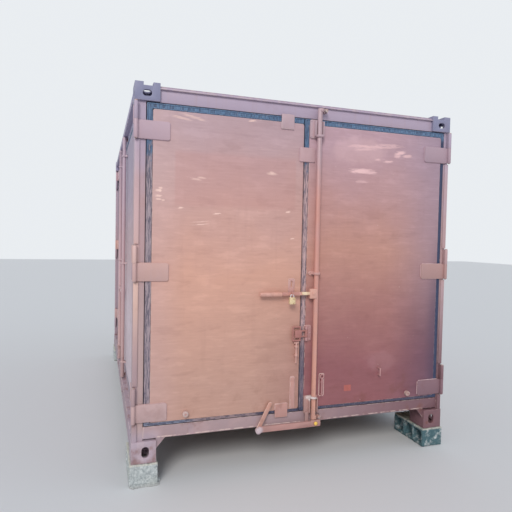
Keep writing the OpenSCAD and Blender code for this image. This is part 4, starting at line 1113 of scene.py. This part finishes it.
# %% Mortar spill
def mortar():
    """A half-round outline swept along the block's foot, which swells, shrinks and has lumps."""
    lo, hi = next(b for b in solids("stand_blocks") if b[0][0] < 0 and b[0][1] < 0)
    foot = lo[2] + 1
    line = [(lo[0] + 6, lo[1] + 2, foot), (hi[0] - 4, lo[1] + 2, foot),
            (hi[0] - 2, lo[1] + 8, foot), (hi[0] - 2, lo[1] + 190, foot)]
    path = evenly(mm(line), 0.005)
    s = np.arange(len(path))
    r = np.random.default_rng(5)
    radius = np.interp(s, s[::5], r.uniform(0.011, 0.024, len(s[::5])))
    radius *= np.minimum(1, np.minimum(s + 2, len(s) + 1 - s) / 6)
    angle = np.linspace(0, np.pi, 12)
    outline = np.vstack([np.stack([np.cos(angle), np.sin(angle)], axis=1), [[-1, -0.02], [1, -0.02]]])
    verts, quads, caps = sweep(path, (0, 0, 1), outline, swell=radius)
    lump = (waves(verts, 0.012, 40, 8)[:, None] - 0.5) * 0.007
    centre = path[np.repeat(s, len(outline))]
    verts = centre + (verts - centre) * (1 + lump / 0.016)
    verts[:, 2] = np.clip(verts[:, 2], 0.0005, None)
    piece("mortar_spill", [(verts, quads, caps)], "frame", "concrete")


mortar()

# %% [markdown]
# ## Floor boards
#
# The floor of the container is a layer of tongued boards on the cross members. The CAD floor is one slab, so
# boards with eased edges replace it: fourteen rows, each cut in two or three lengths, every board a hair
# lower or higher than its neighbour.

# %% Floor boards
def boards():
    """Fourteen rows of boards. Each is an outline with eased upper edges, carried along the container."""
    lo, hi = solids("floor")[0]
    rows, ease, side_gap, end_gap, shortest = 14, 2.0, 0.8, 0.7, 500
    width = (hi[0] - lo[0]) / rows
    half = width / 2 - side_gap
    r = np.random.default_rng(21)
    parts = []
    for k in range(rows):
        middle = lo[0] + (k + 0.5) * width
        cuts = sorted(r.uniform(lo[1] + shortest, hi[1] - shortest, 2 if k % 3 else 1))
        ends = [lo[1], *cuts, hi[1]]
        for a, b in zip(ends[:-1], ends[1:]):
            top = hi[2] - r.uniform(0, 0.9)
            outline = np.array([(-half, lo[2] - top), (half, lo[2] - top), (half, -ease), (half - ease, 0),
                                (ease - half, 0), (-half, -ease)]) / 1000
            line = mm([(middle, a + end_gap, top), (middle, b - end_gap, top)])
            parts.append(sweep(line, (0, 0, 1), outline))
    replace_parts(piece("floor_boards", parts, "frame", "floor_timber"), "floor")


boards()

# %% [markdown]
# ## Bolts, rivets and bumper caps
#
# Small turned parts: a rivet is a low dome, a bolt is a washer and a head with a hexagon's outline, and a
# door bumper has a round cap with a screw sunk in its middle. Each is a profile of radii and heights about
# an axis that points out of the door.

# %% Fasteners
def rivet(spot, r=5.0):
    """A low dome with a radius of r."""
    radius, height = np.array([1, 1, 0.8, 0.45, 0.02]) * r, np.array([-0.3, 0.12, 0.4, 0.55, 0.6]) * r
    return lathe(radius, height, spot, OUT_END, 10)


def bolt(spot, tall, r=9.0):
    """A washer and a hexagon head with a chamfered top."""
    washer = lathe(np.array([1.55, 1.55, 1.4]) * r, [-2, 1.5, 2.0], spot, OUT_END, 18)
    radius, height = np.array([0.87, 0.87, 0.75, 0.01]) * r, [1, tall - 1, tall, tall]
    return [washer, lathe(radius, height, spot, OUT_END, 24, hexed=True)]


rod = own_box("end_lock_rod")[0][0] + 17  # the rod's axis
plate, columns, inset = LEAF_FRONT_END - 8, (rod - 55, rod + 30), 12
lowest, two_rows = 240, 60  # no rivet sits below the leaf, and only a plate this tall has two rows
spots = []
for lo, hi in solids("end_rod_guides"):
    rows = (lo[2] + inset, hi[2] - inset) if hi[2] - lo[2] >= two_rows else ((lo[2] + hi[2]) / 2,)
    spots += [(x, plate, z) for x in columns for z in rows if z > lowest]
latch_x, latch_z = 38, np.mean([corner[2] for corner in own_box("latch_flap")])
spots += [(latch_x, plate, latch_z + up) for up in (-42, 0, 42)]
piece("right_door_rivets", [rivet(spot) for spot in spots], "right_end_door", "faded_paint", STRAP)

handle_spot = (rod - 26, -40, own_box("end_handle")[1][2] - 35)
piece("handle_bolt", bolt(handle_spot, 6), "end_lock", "faded_paint", OWN["end_handle"])
bar_spot = (rod + 13, -43.5, own_box("bottom_bar")[0][2] + 34)
piece("bar_brass_nut", bolt(bar_spot, 7), "right_end_door", "lock_brass",
      dull_brass("nut_brass", (246, 206, 104), (196, 146, 66)))

CAP = ([19.6, 20.4, 19.0, 14.0, 8.5, 7.0, 6.6, 0.1], [-21, -6, 0.5, 2.6, 2.8, 1.5, -2.5, -2.5])
SCREW = ([6.2, 6.2, 5.0, 0.1], [-3, -1.2, -0.6, -0.5])
bumper, slack = 38, 1.5  # a bumper is the plate that is this wide and tall
for side in ("left_end", "right_end"):
    for lo, hi in solids(side + "_plates"):
        if np.abs((hi - lo)[[0, 2]] - bumper).max() < slack:
            middle, body = (lo + hi) / 2, side + "_door"
            spot = (middle[0], lo[1], middle[2])
            piece(body + "_bumper_cap", [lathe(*CAP, spot, OUT_END, 24)], body, "faded_paint", OWN["bumper"])
            piece(body + "_bumper_screw", [lathe(*SCREW, spot, OUT_END, 20)], body, "seal_rubber")

# %% [markdown]
# ## The inside of the doors
#
# Seen open, a door shows the strip that clamps its seal, riveted every hand's breadth, and a lining pressed
# with level ribs that stiffen it. The lining is one outline, the zigzag of its ribs, carried across the
# leaf, and the strip is a flat bar carried round the rim.

# %% Linings, clamping strips and their rivets
def door_inside(leaf, out):
    """The lining and the strip of a leaf, on its face away from out."""
    lo, hi = solids(leaf)[0]
    body, axis, into = NODES[leaf]["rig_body"], ALONG[out], tuple(-v for v in out)
    back, flip = (hi[1], 1) if axis == 0 else (hi[0], -1)
    rim, depth, ribs, high = 62, 10, 9, 7.0
    z0, z1 = lo[2] + rim, hi[2] - rim
    rib = (z1 - z0) / ribs * (np.arange(ribs)[:, None] + np.array([0.0, 0.28, 0.38, 0.82, 0.92]))
    level = np.append((z0 + rib).ravel(), z1)
    rise = np.append(np.tile([0.5, 0.5, high, high, 0.5], ribs), 0.5)
    mid = (z0 + z1) / 2
    zigzag = np.stack([(level - mid) * flip, rise], axis=1)
    outline = np.vstack([zigzag, [[(z1 - mid) * flip, -1], [(z0 - mid) * flip, -1]]]) / 1000
    line = on_door([(lo[axis] + rim, mid), (hi[axis] - rim, mid)], back - depth, out)
    piece(leaf + "_lining", [sweep(line, into, outline)], body, SLOT_OF[leaf], FINISH["faded_paint"])
    edge, half, thick = 20, 11, 1.6
    strip = np.array([(-half, -1), (half, -1), (half, thick), (-half, thick)]) / 1000
    loop = round_frame(lo[axis] + edge, hi[axis] - edge, lo[2] + edge, hi[2] - edge, 10, 3)
    loop = on_door(loop, back, out)
    parts = [sweep(loop, into, strip, ring=True)]
    radius, height = np.array([5, 5, 3.6, 0.1]) / 1000, np.array([0, 2.2, 3.2, 3.4]) / 1000
    parts += [turned(radius, height, spot, into, 8) for spot in evenly(loop, 0.13, ring=True)]
    piece(leaf + "_strip", parts, body, "bare_steel")


for leaf in ("left_end_leaf", "right_end_leaf"):
    door_inside(leaf, OUT_END)
for leaf in ("near_side_leaf", "far_side_leaf"):
    door_inside(leaf, OUT_SIDE)

# %% [markdown]
# ## Closing strips at the ribbed sheets
#
# A ribbed sheet leaves half-moons open where it meets a flat rail. Small flat strips close them here: one
# along the foot and one along the head of the ribbed walls, and one on each side of the roof.

# %% Closing strips
def bar(lo, hi):
    """A flat bar between two corners in millimetres: a profile carried along its longest side."""
    lo, hi = np.asarray(lo, float), np.asarray(hi, float)
    along = int(np.argmax(hi - lo))
    ends = np.repeat((lo + hi)[None] / 2, 2, axis=0)
    ends[:, along] = lo[along], hi[along]
    wide, high = (1 - along, 2) if along < 2 else (0, 1)
    a, b, ease = (hi - lo)[wide] / 2, (hi - lo)[high] / 2, 0.4
    outline = [(-a, -b), (a, -b), (a, b - ease), (a - ease, b), (ease - a, b), (-a, b - ease)]
    return sweep(mm(ends), (0, 0, 1), np.array(outline) / 1000)


(rear_lo, rear_hi), (right_lo, right_hi) = own_box("rear_wall"), own_box("right_wall")
(sill_lo, sill_hi), roof_top = own_box("rear_sill"), own_box("roof")[1][2]
strips, edge, inner = [], 0.1, 2.2  # a strip lies between these distances from the sheet's edge
for lo, hi, left, right, near, far in (
        (rear_lo, rear_hi, rear_lo[0] + 2, rear_hi[0] - 2, sill_lo[1] + 2, sill_hi[1] - 1),
        (right_lo, right_hi, right_lo[0] - 4, right_hi[0] + 3, right_lo[1] + 2, right_hi[1] - 2)):
    strips.append(bar((left, near, lo[2] + edge), (right, far, lo[2] + inner)))
    strips.append(bar((left, near, hi[2] - inner), (right, far, hi[2] - edge)))
roof_front, roof_back = rear_lo[1] - 3560, rear_hi[1] - 175
for left, right in ((-1092, -1089), (1089, 1092)):
    strips.append(bar((left, roof_front, roof_top - 22), (right, roof_back, roof_top - 4.5)))
piece("closing_strips", strips, "frame", "faded_paint")
